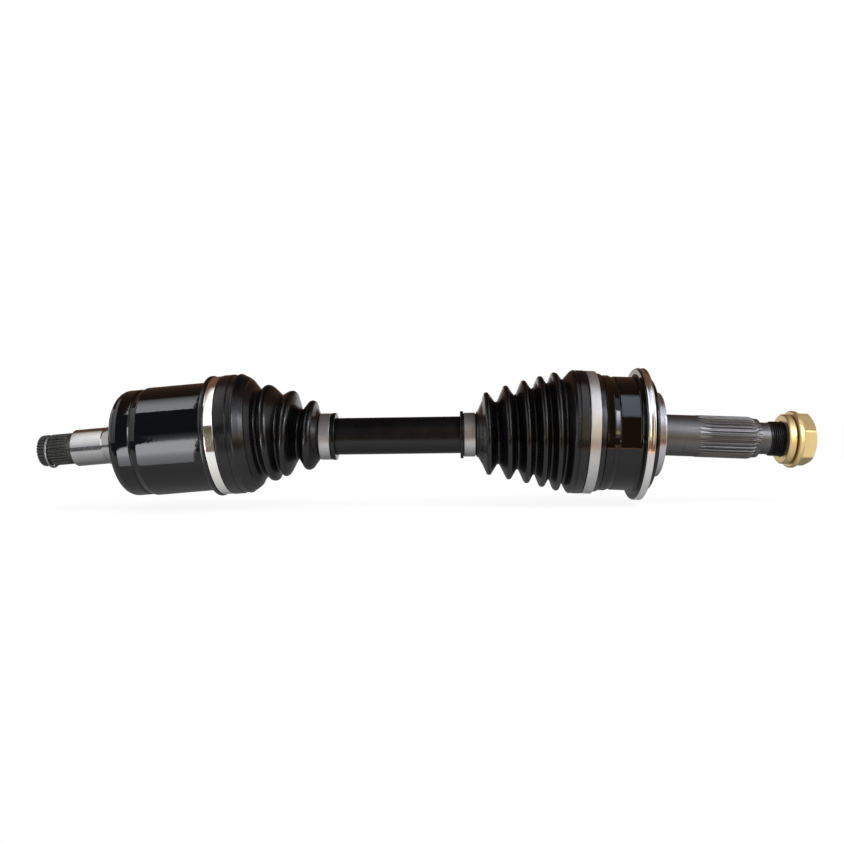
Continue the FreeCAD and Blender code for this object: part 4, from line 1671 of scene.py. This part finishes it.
@dataclass
class Bellows:
    """A moulded rubber boot, cut into lengths, each set along one joint's rest bend. Millimetres."""

    name: str
    node: str
    joint: Joint
    cuff: list[Corner]
    folds: list[tuple[float, float]]
    valleys: list[tuple[float, float]]
    collar: list[Corner]
    inside_start: list[Corner]
    inside_end: list[Corner]
    turn_from: float
    turn_to: float
    leans: list[float]
    stretches: list[Stretch]
    wall: float = 2.2
    crest_round: float = 2.1
    valley_round: float = 1.3
    outer_sink: float = 0.9
    inner_sink: float = 0.3
    inner_rise: float = 0.5

    def skin(self, inner: bool) -> list[OutlinePoint]:
        """Points along the outer or the inner skin, from the small end.

        Args:
            inner: whether it is the inner skin.

        Returns:
            Places along the axis, radii and a zero.
        """
        drop = self.wall if inner else 0.0
        middle: list[Corner] = []
        for index, crest in enumerate(self.folds):
            rise = self.inner_rise if inner else 0.52 * self.crest_round
            middle.append(Corner(crest[0], crest[1] + rise - drop, self.crest_round - 0.5 * drop))
            if index < len(self.valleys):
                valley = self.valleys[index]
                sink = self.inner_sink if inner else self.outer_sink
                middle.append(Corner(valley[0], valley[1] - sink - drop, self.valley_round))
        start = self.inside_start if inner else self.cuff
        end = self.inside_end if inner else self.collar
        return sampled(start + middle + end, False, 11.0)

    def cut(self, points: list[OutlinePoint], low: float, high: float) -> list[tuple[float, float]]:
        """The part of a skin between two places.

        Args:
            points: the whole skin.
            low: the first cut.
            high: the second cut.

        Returns:
            Places and radii, with a point exactly on each cut.
        """
        kept = []
        for index, (x, r, _) in enumerate(points):
            if index:
                from_x, from_r, _ = points[index - 1]
                for edge in (low, high):
                    if from_x < edge < x:
                        share = (edge - from_x) / (x - from_x)
                        kept.append((edge, from_r + (r - from_r) * share))
            if low < x < high:
                kept.append((x, r))
        return kept

    def lean(self, x: float, own: float) -> float:
        """Lean of the ring at a distance along the boot.

        Args:
            x: the distance, in millimetres.
            own: the lean that its share of the joint's angle would give, in radians.

        Returns:
            The lean about Y in radians, as the fold has set.
        """
        last = math.degrees(self.joint.hang()[0])
        start = self.folds[0][0] - 5.6
        knots = [(start, last * (start - self.turn_from) / (self.turn_to - self.turn_from))]
        for index, (crest, valley) in enumerate(zip(self.folds, self.valleys)):
            here, following = (self.leans + [last])[index : index + 2]
            between = (here + following) / 2
            knots += [(crest[0] - 1.6, here), (crest[0] + 1.6, here)]
            knots += [(valley[0] - 1.0, between), (valley[0] + 1.0, between)]
        knots.append((self.turn_to, last))
        for (from_x, from_lean), (to_x, to_lean) in zip(knots, knots[1:]):
            if from_x <= x <= to_x:
                part = (x - from_x) / (to_x - from_x)
                return math.radians(from_lean + (to_lean - from_lean) * part)
        return own

    def ring_place(self, x: float) -> Matrix:
        """Place of the ring at a distance along the boot.

        Args:
            x: the distance, in millimetres.

        Returns:
            The ring's place, which keeps its own x.
        """
        share = (x - self.turn_from) / (self.turn_to - self.turn_from)
        share = min(max(share, 0.0), 1.0)
        centre = self.joint.bent(share) @ Vector((x * MM, 0.0, 0.0))
        pitch, yaw = self.joint.hang()
        turn = Matrix.Rotation(yaw * share, 4, "Z")
        turn = turn @ Matrix.Rotation(self.lean(x, pitch * share), 4, "Y")
        turn = turn @ self.joint.bar.turn().to_matrix().to_4x4()
        return Matrix.Translation(centre) @ turn @ Matrix.Translation((-x * MM, 0.0, 0.0))

    def length(self, name: str, outline: list[tuple[float, float]]) -> bpy.types.Object:
        """One length of the boot as a closed shell.

        Args:
            name: the piece's name.
            outline: the closed outline of its wall.

        Returns:
            The new object.
        """
        points, placed = [], []
        for x, r in outline:
            place = self.ring_place(x)
            for number in range(SEGMENTS):
                spot = ring_spot(x, r, 2 * math.pi * number / SEGMENTS)
                points.append(spot)
                placed.append(place @ spot)
        faces = woven(len(outline), SEGMENTS, True)
        return mesh_object(name, placed, faces, [Finish.RUBBER], None, points)

    def build(self) -> None:
        """Make every length, its rings set along the joint's rest bend."""
        outer, inner = self.skin(False), self.skin(True)
        for stretch in self.stretches:
            low, high = stretch.cut_from, stretch.cut_to
            outline = self.cut(outer, low, high) + self.cut(inner, low, high)[::-1]
            piece = Piece(f"{self.name}_{stretch.name}", stretch.first_body, "rubber", (self.node,))
            piece.thing = self.length(piece.name, outline)
            ends = [
                self.ring_place(x) @ Vector((x * MM, 0.0, 0.0))
                for x in (stretch.bend_from, stretch.bend_to)
            ]
            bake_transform(piece.thing)
            piece.declare()


def wheel_boot(joint: Joint) -> Bellows:
    """The five-fold boot of the fixed joint.

    Args:
        joint: the wheel-end joint.

    Returns:
        The boot.
    """
    folds, valleys = [], []
    x, pitch, radius = -90.3, 15.3, 33.2
    for index in range(5):
        folds.append((x, radius))
        step = (-27.6 - x) * 0.9 if index == 4 else pitch
        valleys.append((x + step * 0.52, radius - 9.6 + 0.6 * index))
        x += pitch
        pitch *= 0.885
        radius += 4.0 - 0.4 * index
    cuff = [
        Corner(-110.6, 14.45, 0.0),
        Corner(-110.6, 18.2, 0.6),
        Corner(-108.3, 18.2, 0.5),
        Corner(-107.9, 15.8, 0.2),
        Corner(-98.9, 15.8, 0.3),
        Corner(-98.2, 17.2, 0.4),
        Corner(-95.9, 18.4, 1.2),
    ]
    collar = [
        Corner(-28.6, 46.0, 0.8),
        Corner(-27.2, 47.0, 0.5),
        Corner(-26.0, 47.0, 0.3),
        Corner(-25.6, 46.4, 0.3),
        Corner(-24.9, 46.4, 0.3),
        Corner(-24.5, 47.0, 0.5),
        Corner(-18.8, 47.0, 0.6),
        Corner(-18.4, 45.7, 0.2),
        Corner(-10.2, 45.7, 0.2),
        Corner(-9.9, 45.4, 0.2),
        Corner(-6.5, 44.8, 0.5),
        Corner(-6.3, 42.8, 0.0),
    ]
    stretches = [
        Stretch("first", "shaft", "outer_back", -200.0, -52.5, -89.0, -52.5),
        Stretch("second", "outer_back", "outer_middle", -52.5, -46.9, -52.5, -46.9),
        Stretch("third", "outer_middle", "outer_front", -46.9, -41.4, -46.9, -41.4),
        Stretch("fourth", "outer_front", "wheel_stub", -41.4, 50.0, -41.4, -18.5),
    ]
    return Bellows(
        name="wheel_boot",
        node="outer_boot",
        joint=joint,
        cuff=cuff,
        folds=folds,
        valleys=valleys,
        collar=collar,
        inside_start=[Corner(-110.6, 14.45, 0.0), Corner(-98.8, 14.45, 0.5)],
        inside_end=[Corner(-27.1, 41.8, 1.0), Corner(-20.0, 42.8, 0.5), Corner(-6.3, 42.8, 0.0)],
        turn_from=-100.3,
        turn_to=-27.6,
        leans=[-1.4, -1.3, -1.0, -0.2, 0.0],
        stretches=stretches,
    )


def differential_boot(joint: Joint) -> Bellows:
    """The three-fold boot of the plunging joint.

    Args:
        joint: the differential-end joint.

    Returns:
        The boot.
    """
    cuff = [
        Corner(-116.4, 14.45, 0.0),
        Corner(-116.4, 18.2, 0.6),
        Corner(-113.3, 18.2, 0.5),
        Corner(-112.8, 16.8, 0.2),
        Corner(-104.2, 16.8, 0.4),
        Corner(-102.8, 18.2, 1.0),
    ]
    collar = [
        Corner(-57.6, 36.7, 1.6),
        Corner(-54.4, 40.6, 0.5),
        Corner(-54.2, 41.6, 0.4),
        Corner(-51.6, 43.6, 1.6),
        Corner(-48.0, 45.6, 0.5),
        Corner(-47.4, 46.1, 0.5),
        Corner(-46.6, 46.1, 0.3),
        Corner(-46.2, 45.5, 0.3),
        Corner(-42.4, 45.5, 0.3),
        Corner(-42.0, 46.1, 0.5),
        Corner(-34.1, 46.1, 0.6),
        Corner(-33.7, 44.6, 0.2),
        Corner(-26.2, 44.6, 0.2),
        Corner(-26.0, 46.5, 0.9),
        Corner(-22.6, 46.5, 1.5),
        Corner(-22.5, 41.5, 0.0),
    ]
    stretches = [
        Stretch("first", "shaft", "inner_back", -200.0, -87.0, -90.0, -87.0),
        Stretch("second", "inner_back", "inner_middle", -87.0, -73.5, -87.0, -73.5),
        Stretch("third", "inner_middle", "inner_front", -73.5, -61.0, -73.5, -61.0),
        Stretch("fourth", "inner_front", "slip_boot", -61.0, -58.4, -61.0, -58.4),
        Stretch("fifth", "slip_boot", "diff_stub", -58.4, 50.0, -58.0, -37.0),
    ]
    return Bellows(
        name="diff_boot",
        node="inner_boot",
        joint=joint,
        cuff=cuff,
        folds=[(-97.1, 28.4), (-80.9, 33.3), (-67.1, 37.4)],
        valleys=[(-88.5, 19.0), (-74.2, 29.7), (-60.0, 33.1)],
        collar=collar,
        inside_start=[Corner(-116.4, 14.45, 0.0), Corner(-105.4, 14.45, 0.5)],
        inside_end=[Corner(-49.4, 40.1, 2.0), Corner(-45.0, 41.5, 0.5), Corner(-22.5, 41.5, 0.0)],
        turn_from=-106.4,
        turn_to=-51.4,
        leans=[4.3, 5.3, -3.3],
        stretches=stretches,
        crest_round=3.8,
    )


class Internals:
    """The hidden races, cages, balls and rings: CAD shapes with real steels."""

    finishes = {
        "outer_inner_race": Finish.RACE_STEEL,
        "outer_race_ring": Finish.SPRING_STEEL,
        "outer_cage": Finish.CAGE_STEEL,
        "outer_balls": Finish.BALL_STEEL,
        "outer_back_ball": Finish.BALL_STEEL,
        "outer_front_ball": Finish.BALL_STEEL,
        "inner_inner_race": Finish.RACE_STEEL,
        "inner_race_ring": Finish.SPRING_STEEL,
        "inner_cage": Finish.CAGE_STEEL,
        "inner_balls": Finish.BALL_STEEL,
        "inner_back_ball": Finish.BALL_STEEL,
        "inner_front_ball": Finish.BALL_STEEL,
        "housing_snap_ring": Finish.SPRING_STEEL,
    }

    def dress(self) -> None:
        """Give each node its steel."""
        for name, finish in self.finishes.items():
            node = frame["nodes"][name]
            if not node.material_slots:
                node.data.materials.append(finish.made())
            for place in node.material_slots:
                place.material = finish.made()
            LOG.info("%s: %s", name, finish.value.name)


# ---------------------------------------------------------------- studio


BROWN: Colour = (0.27, 0.13, 0.05)
DUSK: Colour = (0.13, 0.15, 0.18)
DIM: Colour = (0.16, 0.085, 0.055)
SOOT: Colour = (0.030, 0.028, 0.030)
GREY: Colour = (0.9, 0.92, 0.96)
TAN: Colour = (0.33, 0.29, 0.24)


def one_colour(colour: Colour) -> Stops:
    """Stops of a sheet with one colour all over."""
    return [(0.0, colour), (1.0, colour)]


@dataclass
class SoftBox:
    """A rectangular studio lamp that mirrors don't see: the cards stand in for it there."""

    name: str
    place: tuple[float, float, float]
    aim: tuple[float, float, float]
    size: tuple[float, float]
    radiance: float
    colour: Colour

    def build(self) -> None:
        """Hang the lamp."""
        light = bpy.data.lights.new(self.name, "AREA")
        light.shape = "RECTANGLE"
        light.size, light.size_y = self.size
        light.energy = math.pi * self.radiance * self.size[0] * self.size[1]
        light.color = self.colour
        lamp = bpy.data.objects.new(self.name, light)
        lamp.location = self.place
        direction = Vector(self.aim) - Vector(self.place)
        lamp.rotation_euler = direction.to_track_quat("-Z", "Y").to_euler()
        lamp.visible_camera = False
        lamp.visible_glossy = False
        bpy.context.scene.collection.objects.link(lamp)


@dataclass
class Card:
    """A glowing or a dark sheet that only mirrors see. Metres; a line swept along x."""

    name: str
    line: list[tuple[float, float]]
    left: tuple[float, float]
    right: tuple[float, float]
    stops: Stops
    power: float = 1.0
    left_stops: Stops | None = None

    def glow(self, tree: bpy.types.NodeTree, stops: Stops) -> bpy.types.NodeSocket:
        """Colours along the sheet.

        Args:
            tree: the material's tree.
            stops: shares of the sheet's line and their colours.

        Returns:
            The colour.
        """
        share = tree.nodes.new("ShaderNodeAttribute")
        share.attribute_name = "share"
        ramp = filled_ramp(tree, stops)
        tree.links.new(share.outputs["Fac"], ramp.inputs["Fac"])
        return ramp.outputs["Color"]

    def material(self) -> bpy.types.Material:
        """Build the sheet's material.

        Returns:
            The material.
        """
        material = bpy.data.materials.new(self.name)
        material.use_nodes = True
        tree = material.node_tree
        tree.nodes.clear()
        colour = self.glow(tree, self.stops)
        if self.left_stops:
            place = tree.nodes.new("ShaderNodeTexCoord")
            split = tree.nodes.new("ShaderNodeSeparateXYZ")
            across = tree.nodes.new("ShaderNodeMapRange")
            across.inputs["From Min"].default_value = -0.45
            across.inputs["From Max"].default_value = 0.10
            mixed = tree.nodes.new("ShaderNodeMix")
            mixed.data_type = "RGBA"  # its factor is socket 0, its two colours are 6 and 7
            tree.links.new(place.outputs["Object"], split.inputs[0])
            tree.links.new(split.outputs["X"], across.inputs["Value"])
            tree.links.new(across.outputs["Result"], mixed.inputs[0])
            tree.links.new(self.glow(tree, self.left_stops), mixed.inputs[6])
            tree.links.new(colour, mixed.inputs[7])
            colour = mixed.outputs[2]
        light = tree.nodes.new("ShaderNodeEmission")
        light.inputs["Strength"].default_value = self.power
        output = tree.nodes.new("ShaderNodeOutputMaterial")
        tree.links.new(colour, light.inputs["Color"])
        tree.links.new(light.outputs[0], output.inputs["Surface"])
        return material

    def build(self) -> None:
        """Hang the sheet."""
        lengths = [0.0]
        for before, here in zip(self.line, self.line[1:]):
            lengths.append(lengths[-1] + math.dist(before, here))
        vertices, shares, faces = [], [], []
        for (y, z), length in zip(self.line, lengths):
            share = length / lengths[-1]
            for first, last in (self.left, self.right):
                vertices.append((first + (last - first) * share, y, z))
                shares.append(share)
        for index in range(len(self.line) - 1):
            low = 2 * index
            faces.append((low, low + 1, low + 3, low + 2))
        mesh = bpy.data.meshes.new(self.name)
        mesh.from_pydata(vertices, [], faces)
        mesh.attributes.new("share", "FLOAT", "POINT").data.foreach_set("value", shares)
        mesh.materials.append(self.material())
        card = bpy.data.objects.new(self.name, mesh)
        for kind in ("camera", "diffuse", "transmission", "volume_scatter", "shadow"):
            setattr(card, f"visible_{kind}", False)
        bpy.context.scene.collection.objects.link(card)


@dataclass
class Studio:
    """White sweep, a dark room in front of it, soft boxes and the camera. Metres."""

    floor_level: float = -0.0535
    target: tuple[float, float, float] = (0.0212, 0.0, 0.0102)
    distance: float = 0.60
    azimuth: float = 2.0
    roll: float = -0.8
    lens: float = 33.24

    def floor(self) -> None:
        """A plain pale floor that fades into the backdrop; mirrors see it with a painted shadow, darker
        under and behind the axle.
        """
        bpy.ops.mesh.primitive_circle_add(
            vertices=96, radius=4.0, fill_type="NGON", location=(0.0, 0.0, self.floor_level)
        )
        floor = bpy.context.object
        floor.name = "floor"
        material = bpy.data.materials.new("pale_floor")
        material.use_nodes = True
        tree = material.node_tree
        tree.nodes.clear()
        new, join = tree.nodes.new, tree.links.new
        matte = new("ShaderNodeBsdfDiffuse")
        matte.inputs["Color"].default_value = (0.80, 0.80, 0.80, 1.0)
        near = new("ShaderNodeEmission")
        near.inputs["Strength"].default_value = 0.90
        faint = new("ShaderNodeBsdfDiffuse")
        faint.inputs["Color"].default_value = (0.20, 0.20, 0.20, 1.0)
        lit = new("ShaderNodeAddShader")
        join(near.outputs[0], lit.inputs[0])
        join(faint.outputs[0], lit.inputs[1])
        white = new("ShaderNodeEmission")
        place = new("ShaderNodeTexCoord")
        reach = new("ShaderNodeVectorMath")
        reach.operation = "LENGTH"
        join(place.outputs["Object"], reach.inputs[0])
        away = new("ShaderNodeMapRange")
        away.interpolation_type = "SMOOTHSTEP"
        away.inputs["From Min"].default_value = 0.25
        away.inputs["From Max"].default_value = 0.75
        join(reach.outputs["Value"], away.inputs["Value"])
        seen = new("ShaderNodeMixShader")
        join(away.outputs["Result"], seen.inputs[0])
        join(lit.outputs[0], seen.inputs[1])
        join(white.outputs[0], seen.inputs[2])
        split = new("ShaderNodeSeparateXYZ")
        join(place.outputs["Object"], split.inputs[0])
        depth = new("ShaderNodeMapRange")
        depth.inputs["From Min"].default_value = -0.10
        depth.inputs["From Max"].default_value = 0.40
        join(split.outputs["Y"], depth.inputs["Value"])
        # painted shadow for mirrors: the floor they see turns dark from under the axle to well behind it,
        # in place of the shade the axle casts
        painted_shadow_levels = [(0.06, 0.97), (0.15, 0.62), (0.22, 0.24), (0.5, 0.20), (0.95, 0.97)]
        ramp = filled_ramp(tree, [(where, (level, level, 1.02 * level)) for where, level in painted_shadow_levels])
        join(depth.outputs["Result"], ramp.inputs["Fac"])
        mirrored = new("ShaderNodeEmission")
        join(ramp.outputs["Color"], mirrored.inputs["Color"])
        rays = new("ShaderNodeLightPath")
        glossy = new("ShaderNodeMixShader")
        join(rays.outputs["Is Glossy Ray"], glossy.inputs[0])
        join(matte.outputs[0], glossy.inputs[1])
        join(mirrored.outputs[0], glossy.inputs[2])
        direct = new("ShaderNodeMath")
        direct.operation = "MAXIMUM"
        join(rays.outputs["Is Camera Ray"], direct.inputs[0])
        join(rays.outputs["Is Transmission Ray"], direct.inputs[1])
        final = new("ShaderNodeMixShader")
        join(direct.outputs[0], final.inputs[0])
        join(glossy.outputs[0], final.inputs[1])
        join(seen.outputs[0], final.inputs[2])
        output = new("ShaderNodeOutputMaterial")
        join(final.outputs[0], output.inputs["Surface"])
        floor.data.materials.append(material)

    def sky(self) -> None:
        """Even studio light, and a white backdrop for the camera and for mirrors."""
        world = bpy.data.worlds.new("studio")
        bpy.context.scene.world = world
        world.use_nodes = True
        tree = world.node_tree
        tree.nodes.clear()
        new, join = tree.nodes.new, tree.links.new
        rays = new("ShaderNodeLightPath")
        even = new("ShaderNodeBackground")
        even.inputs["Color"].default_value = (1.0, 0.99, 0.98, 1.0)
        even.inputs["Strength"].default_value = 0.45
        white = new("ShaderNodeBackground")
        white.inputs["Color"].default_value = (1.0, 1.0, 1.0, 1.0)
        most = rays.outputs["Is Camera Ray"]
        for kind in ("Is Glossy Ray", "Is Transmission Ray"):
            either = new("ShaderNodeMath")
            either.operation = "MAXIMUM"
            join(most, either.inputs[0])
            join(rays.outputs[kind], either.inputs[1])
            most = either.outputs[0]
        final = new("ShaderNodeMixShader")
        join(most, final.inputs[0])
        join(even.outputs[0], final.inputs[1])
        join(white.outputs[0], final.inputs[2])
        output = new("ShaderNodeOutputWorld")
        join(final.outputs[0], output.inputs["Surface"])

    def lamps(self) -> None:
        """Hang the soft boxes."""
        boxes = [
            SoftBox(
                "right_box",
                place=(0.77, -0.36, 0.80),
                aim=(0.62, 0.0, 0.0),
                size=(0.80, 0.50),
                radiance=2.9,
                colour=(0.95, 1.0, 1.08),
            ),
            SoftBox(
                "left_box",
                place=(-0.50, -0.20, 0.95),
                aim=(-0.30, 0.0, 0.0),
                size=(0.50, 0.10),
                radiance=3.0,
                colour=(0.97, 0.98, 1.02),
            ),
        ]
        for box in boxes:
            box.build()

    @staticmethod
    def arch(radius: float, height: float, start: float, end: float) -> list[tuple[float, float]]:
        """A line bent round the axle on its front side.

        Args:
            radius: its distance from the axle, in metres.
            height: the height of its centre.
            start: the elevation where it begins, in degrees.
            end: the elevation where it ends.

        Returns:
            Points as (y, z).
        """
        angles = [math.radians(start + (end - start) * step / 12) for step in range(13)]
        return [(-radius * math.cos(angle), radius * math.sin(angle) + height) for angle in angles]

    def room_cards(self) -> list[Card]:
        """The dim room round the axle, and what lies on its floor.

        Returns:
            The sheets.
        """
        low = self.floor_level + 0.0005
        room = [(-0.117, low), (-2.0, low), (-2.6, 0.3), (-2.8, 1.2), (-2.2, 2.4), (-1.0, 3.0)]
        room += [(0.3, 3.1), (1.6, 2.6), (2.6, 1.5), (3.0, 0.55)]
        sheet = [(-0.066, low + 0.0005), (-0.8, low + 0.0005), (-0.95, -0.03), (-1.0, 0.08), (-1.0, 0.2)]
        return [
            Card(
                "room",
                room,
                left=(-4.0, -4.0),
                right=(4.0, 4.0),
                stops=[(0.0, BROWN), (0.45, BROWN), (0.62, DIM), (1.0, DIM)],
                left_stops=[(0.0, DUSK), (0.45, DUSK), (0.62, DIM), (1.0, DIM)],
            ),
            Card(
                "front_sheet",
                sheet,
                left=(-0.225, -0.60),
                right=(-0.156, -0.435),
                stops=[
                    (0.0, (0.33, 0.335, 0.35)),
                    (0.03, (0.55, 0.56, 0.585)),
                    (0.06, (0.95, 0.96, 1.0)),
                    (0.25, (0.98, 0.99, 1.03)),
                    (0.62, (0.66, 0.67, 0.70)),
                    (0.76, (0.30, 0.31, 0.33)),
                    (0.86, (0.10, 0.11, 0.12)),
                    (1.0, (0.015, 0.017, 0.02)),
                ],
                power=10.0,
            ),
            Card(
                "edge_strip",
                [(-0.113, low + 0.0005), (-0.120, low + 0.0005)],
                left=(0.13, 0.13),
                right=(0.27, 0.27),
                stops=one_colour((1.0, 0.46, 0.18)),
                power=3.0,
            ),
            Card(
                "far_strip",
                [(-0.30, low + 0.0005), (-1.1, low + 0.0005)],
                left=(0.262, 0.47),
                right=(0.55, 1.2),
                stops=one_colour((0.8, 0.7, 0.35)),
                power=1.6,
            ),
        ]

    def window_cards(self) -> list[Card]:
        """The bright panes that the black enamel shows, and the dark top over them.

        Returns:
            The sheets.
        """
        top = [(-2.1, 2.35), (-0.95, 2.9), (0.3, 3.0), (1.55, 2.5), (2.5, 1.45)]
        front = [(-1.9, 0.0), (-1.9, 0.9), (-1.75, 2.1)]
        window = [(-0.75, -0.20), (-0.75, 0.0), (-0.72, 0.35), (-0.60, 0.75), (-0.42, 1.0)]
        return [
            Card(
                "side_arch",
                self.arch(0.16, -0.008, 3.0, 111.0),
                left=(-0.283, -0.283),
                right=(-0.335, -0.335),
                stops=[
                    (0.0, (0.40, 0.40, 0.41)),
                    (0.25, (0.75, 0.76, 0.78)),
                    (0.55, (1.0, 1.0, 1.02)),
                    (0.8, (0.7, 0.7, 0.7)),
                    (1.0, (0.15, 0.12, 0.1)),
                ],
                power=2.1,
            ),
            Card(
                "right_window",
                window,
                left=(0.62, 0.62),
                right=(1.05, 1.05),
                stops=[
                    (0.0, (0.28, 0.25, 0.13)),
                    (0.14, (0.40, 0.36, 0.19)),
                    (0.22, (0.12, 0.12, 0.10)),
                    (0.36, (0.30, 0.32, 0.36)),
                    (0.6, (0.94, 0.96, 1.04)),
                    (0.8, (0.94, 0.96, 1.04)),
                    (1.0, (0.5, 0.52, 0.58)),
                ],
                power=16.0,
            ),
            Card("plain_top", top, (-0.75, -0.75), (0.75, 0.75), one_colour(SOOT)),
            Card("right_front", front, (0.85, 0.85), (2.7, 2.7), one_colour(GREY), power=1.5),
            Card("left_front", front, (-3.4, -3.4), (-1.75, -1.75), one_colour(GREY), power=2.2),
            Card(
                "barrel_pane",
                self.arch(0.15, -0.008, 56.0, 86.0),
                left=(-0.250, -0.250),
                right=(-0.187, -0.187),
                stops=[(0.0, (0.95, 1.0, 1.05)), (0.4, (0.8, 0.84, 0.88)), (1.0, (0.08, 0.08, 0.08))],
                power=6.0,
            ),
            Card(
                "right_sheet",
                [(-0.588, 0.70), (-0.13, 0.90)],
                left=(0.37, 0.37),
                right=(1.17, 1.17),
                stops=one_colour((0.94, 1.0, 1.1)),
                power=1.05,
            ),
        ]

    def clamp_cards(self) -> list[Card]:
        """What the two large clamps show.

        Returns:
            The sheets.
        """
        left, right = (-0.1785, -0.1785), (-0.1585, -0.1585)
        cream = (1.0, 1.0, 0.98)
        return [
            Card(
                "clamp_dusk",
                self.arch(0.16, -0.008, -15.0, 19.5),
                left,
                right,
                stops=[(0.0, (0.16, 0.14, 0.10)), (1.0, (0.11, 0.09, 0.05))],
            ),
            Card(
                "clamp_pane",
                self.arch(0.16, -0.008, 20.0, 92.0),
                left,
                right,
                stops=[(0.0, cream), (0.8, cream), (1.0, (0.35, 0.28, 0.22))],
                power=1.6,
            ),
            Card(
                "band_pane",
                self.arch(0.16, 0.0, -14.0, 84.0),
                left=(0.145, 0.145),
                right=(0.1735, 0.1735),
                stops=[
                    (0.0, (0.55, 0.52, 0.48)),
                    (0.1, (0.95, 0.78, 0.50)),
                    (0.34, (0.80, 0.70, 0.52)),
                    (0.55, (0.85, 0.86, 0.90)),
                    (0.8, (1.0, 1.0, 1.04)),
                    (1.0, (0.5, 0.48, 0.48)),
                ],
                power=1.9,
            ),
        ]

    def bell_cards(self) -> list[Card]:
        """What the bell shows: a shade, a pane and a shade again.

        Returns:
            The sheets.
        """
        pane = (0.86, 0.96, 1.14)
        return [
            Card(
                "bell_shade",
                self.arch(0.16, 0.0, 12.0, 112.0),
                left=(0.174, 0.176),
                right=(0.1863, 0.1956),
                stops=one_colour(BROWN),
            ),
            Card(
                "bell_pane",
                self.arch(0.16, 0.0, 28.0, 72.0),
                left=(0.1865, 0.1958),
                right=(0.2168, 0.2168),
                stops=[(0.0, (0.4, 0.45, 0.52)), (0.12, pane), (0.88, pane), (1.0, (0.3, 0.34, 0.4))],
                power=2.9,
            ),
            Card(
                "flare_shade",
                self.arch(0.16, 0.0, 12.0, 112.0),
                left=(0.2170, 0.2170),
                right=(0.229, 0.229),
                stops=[(0.0, SOOT), (1.0, BROWN)],
            ),
        ]

    def nut_cards(self) -> list[Card]:
        """What the nut shows below and above.

        Returns:
            The sheets.
        """
        low = self.floor_level + 0.0015
        return [
            Card(
                "nut_floor",
                [(-0.09, low), (-0.5, low)],
                left=(0.325, 0.45),
                right=(0.42, 0.75),
                stops=one_colour((1.0, 1.0, 0.96)),
                power=1.2,
            ),
            Card(
                "nut_shade",
                self.arch(0.10, 0.0, 30.0, 125.0),
                left=(0.3400, 0.3400),
                right=(0.40, 0.40),
                stops=one_colour(TAN),
            ),
        ]

    def cards(self) -> None:
        """Hang the sheets that give the shiny surfaces something to show."""
        sheets = self.room_cards() + self.window_cards() + self.clamp_cards()
        for card in sheets + self.bell_cards() + self.nut_cards():
            card.build()

    def camera(self) -> None:
        """Set the camera on the axle's front side, level with it."""
        data = bpy.data.cameras.new("camera")
        data.lens = self.lens
        camera = bpy.data.objects.new("camera", data)
        angle = math.radians(self.azimuth)
        target = Vector(self.target)
        camera.location = target + self.distance * Vector((math.sin(angle), -math.cos(angle), 0.0))
        turn = (target - camera.location).to_track_quat("-Z", "Y")
        turn = turn @ Quaternion((0.0, 0.0, 1.0), math.radians(self.roll))
        camera.rotation_euler = turn.to_euler()
        bpy.context.scene.collection.objects.link(camera)
        bpy.context.scene.camera = camera

    def build(self) -> None:
        """Set up floor, light and camera."""
        self.floor()
        self.sky()
        self.lamps()
        self.cards()
        self.camera()
        bpy.context.scene.view_settings.view_transform = "Standard"


def main() -> None:
    """Build the axle round the CAD frame."""
    logging.basicConfig(level=logging.INFO, format="%(name)s: %(message)s")
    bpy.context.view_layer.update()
    wheel = Joint.read("washer_travel", "outer_steer_second")
    differential = Joint.read("plunge", "inner_yaw_second")
    Studio().build()
    BarShaft().build()
    WheelEnd(wheel).build()
    DifferentialEnd(differential).build()
    for clamp in clamps(wheel, differential):
        clamp.build()
    wheel_boot(wheel).build()
    differential_boot(differential).build()
    Internals().dress()


if __name__ == "__main__":
    main()
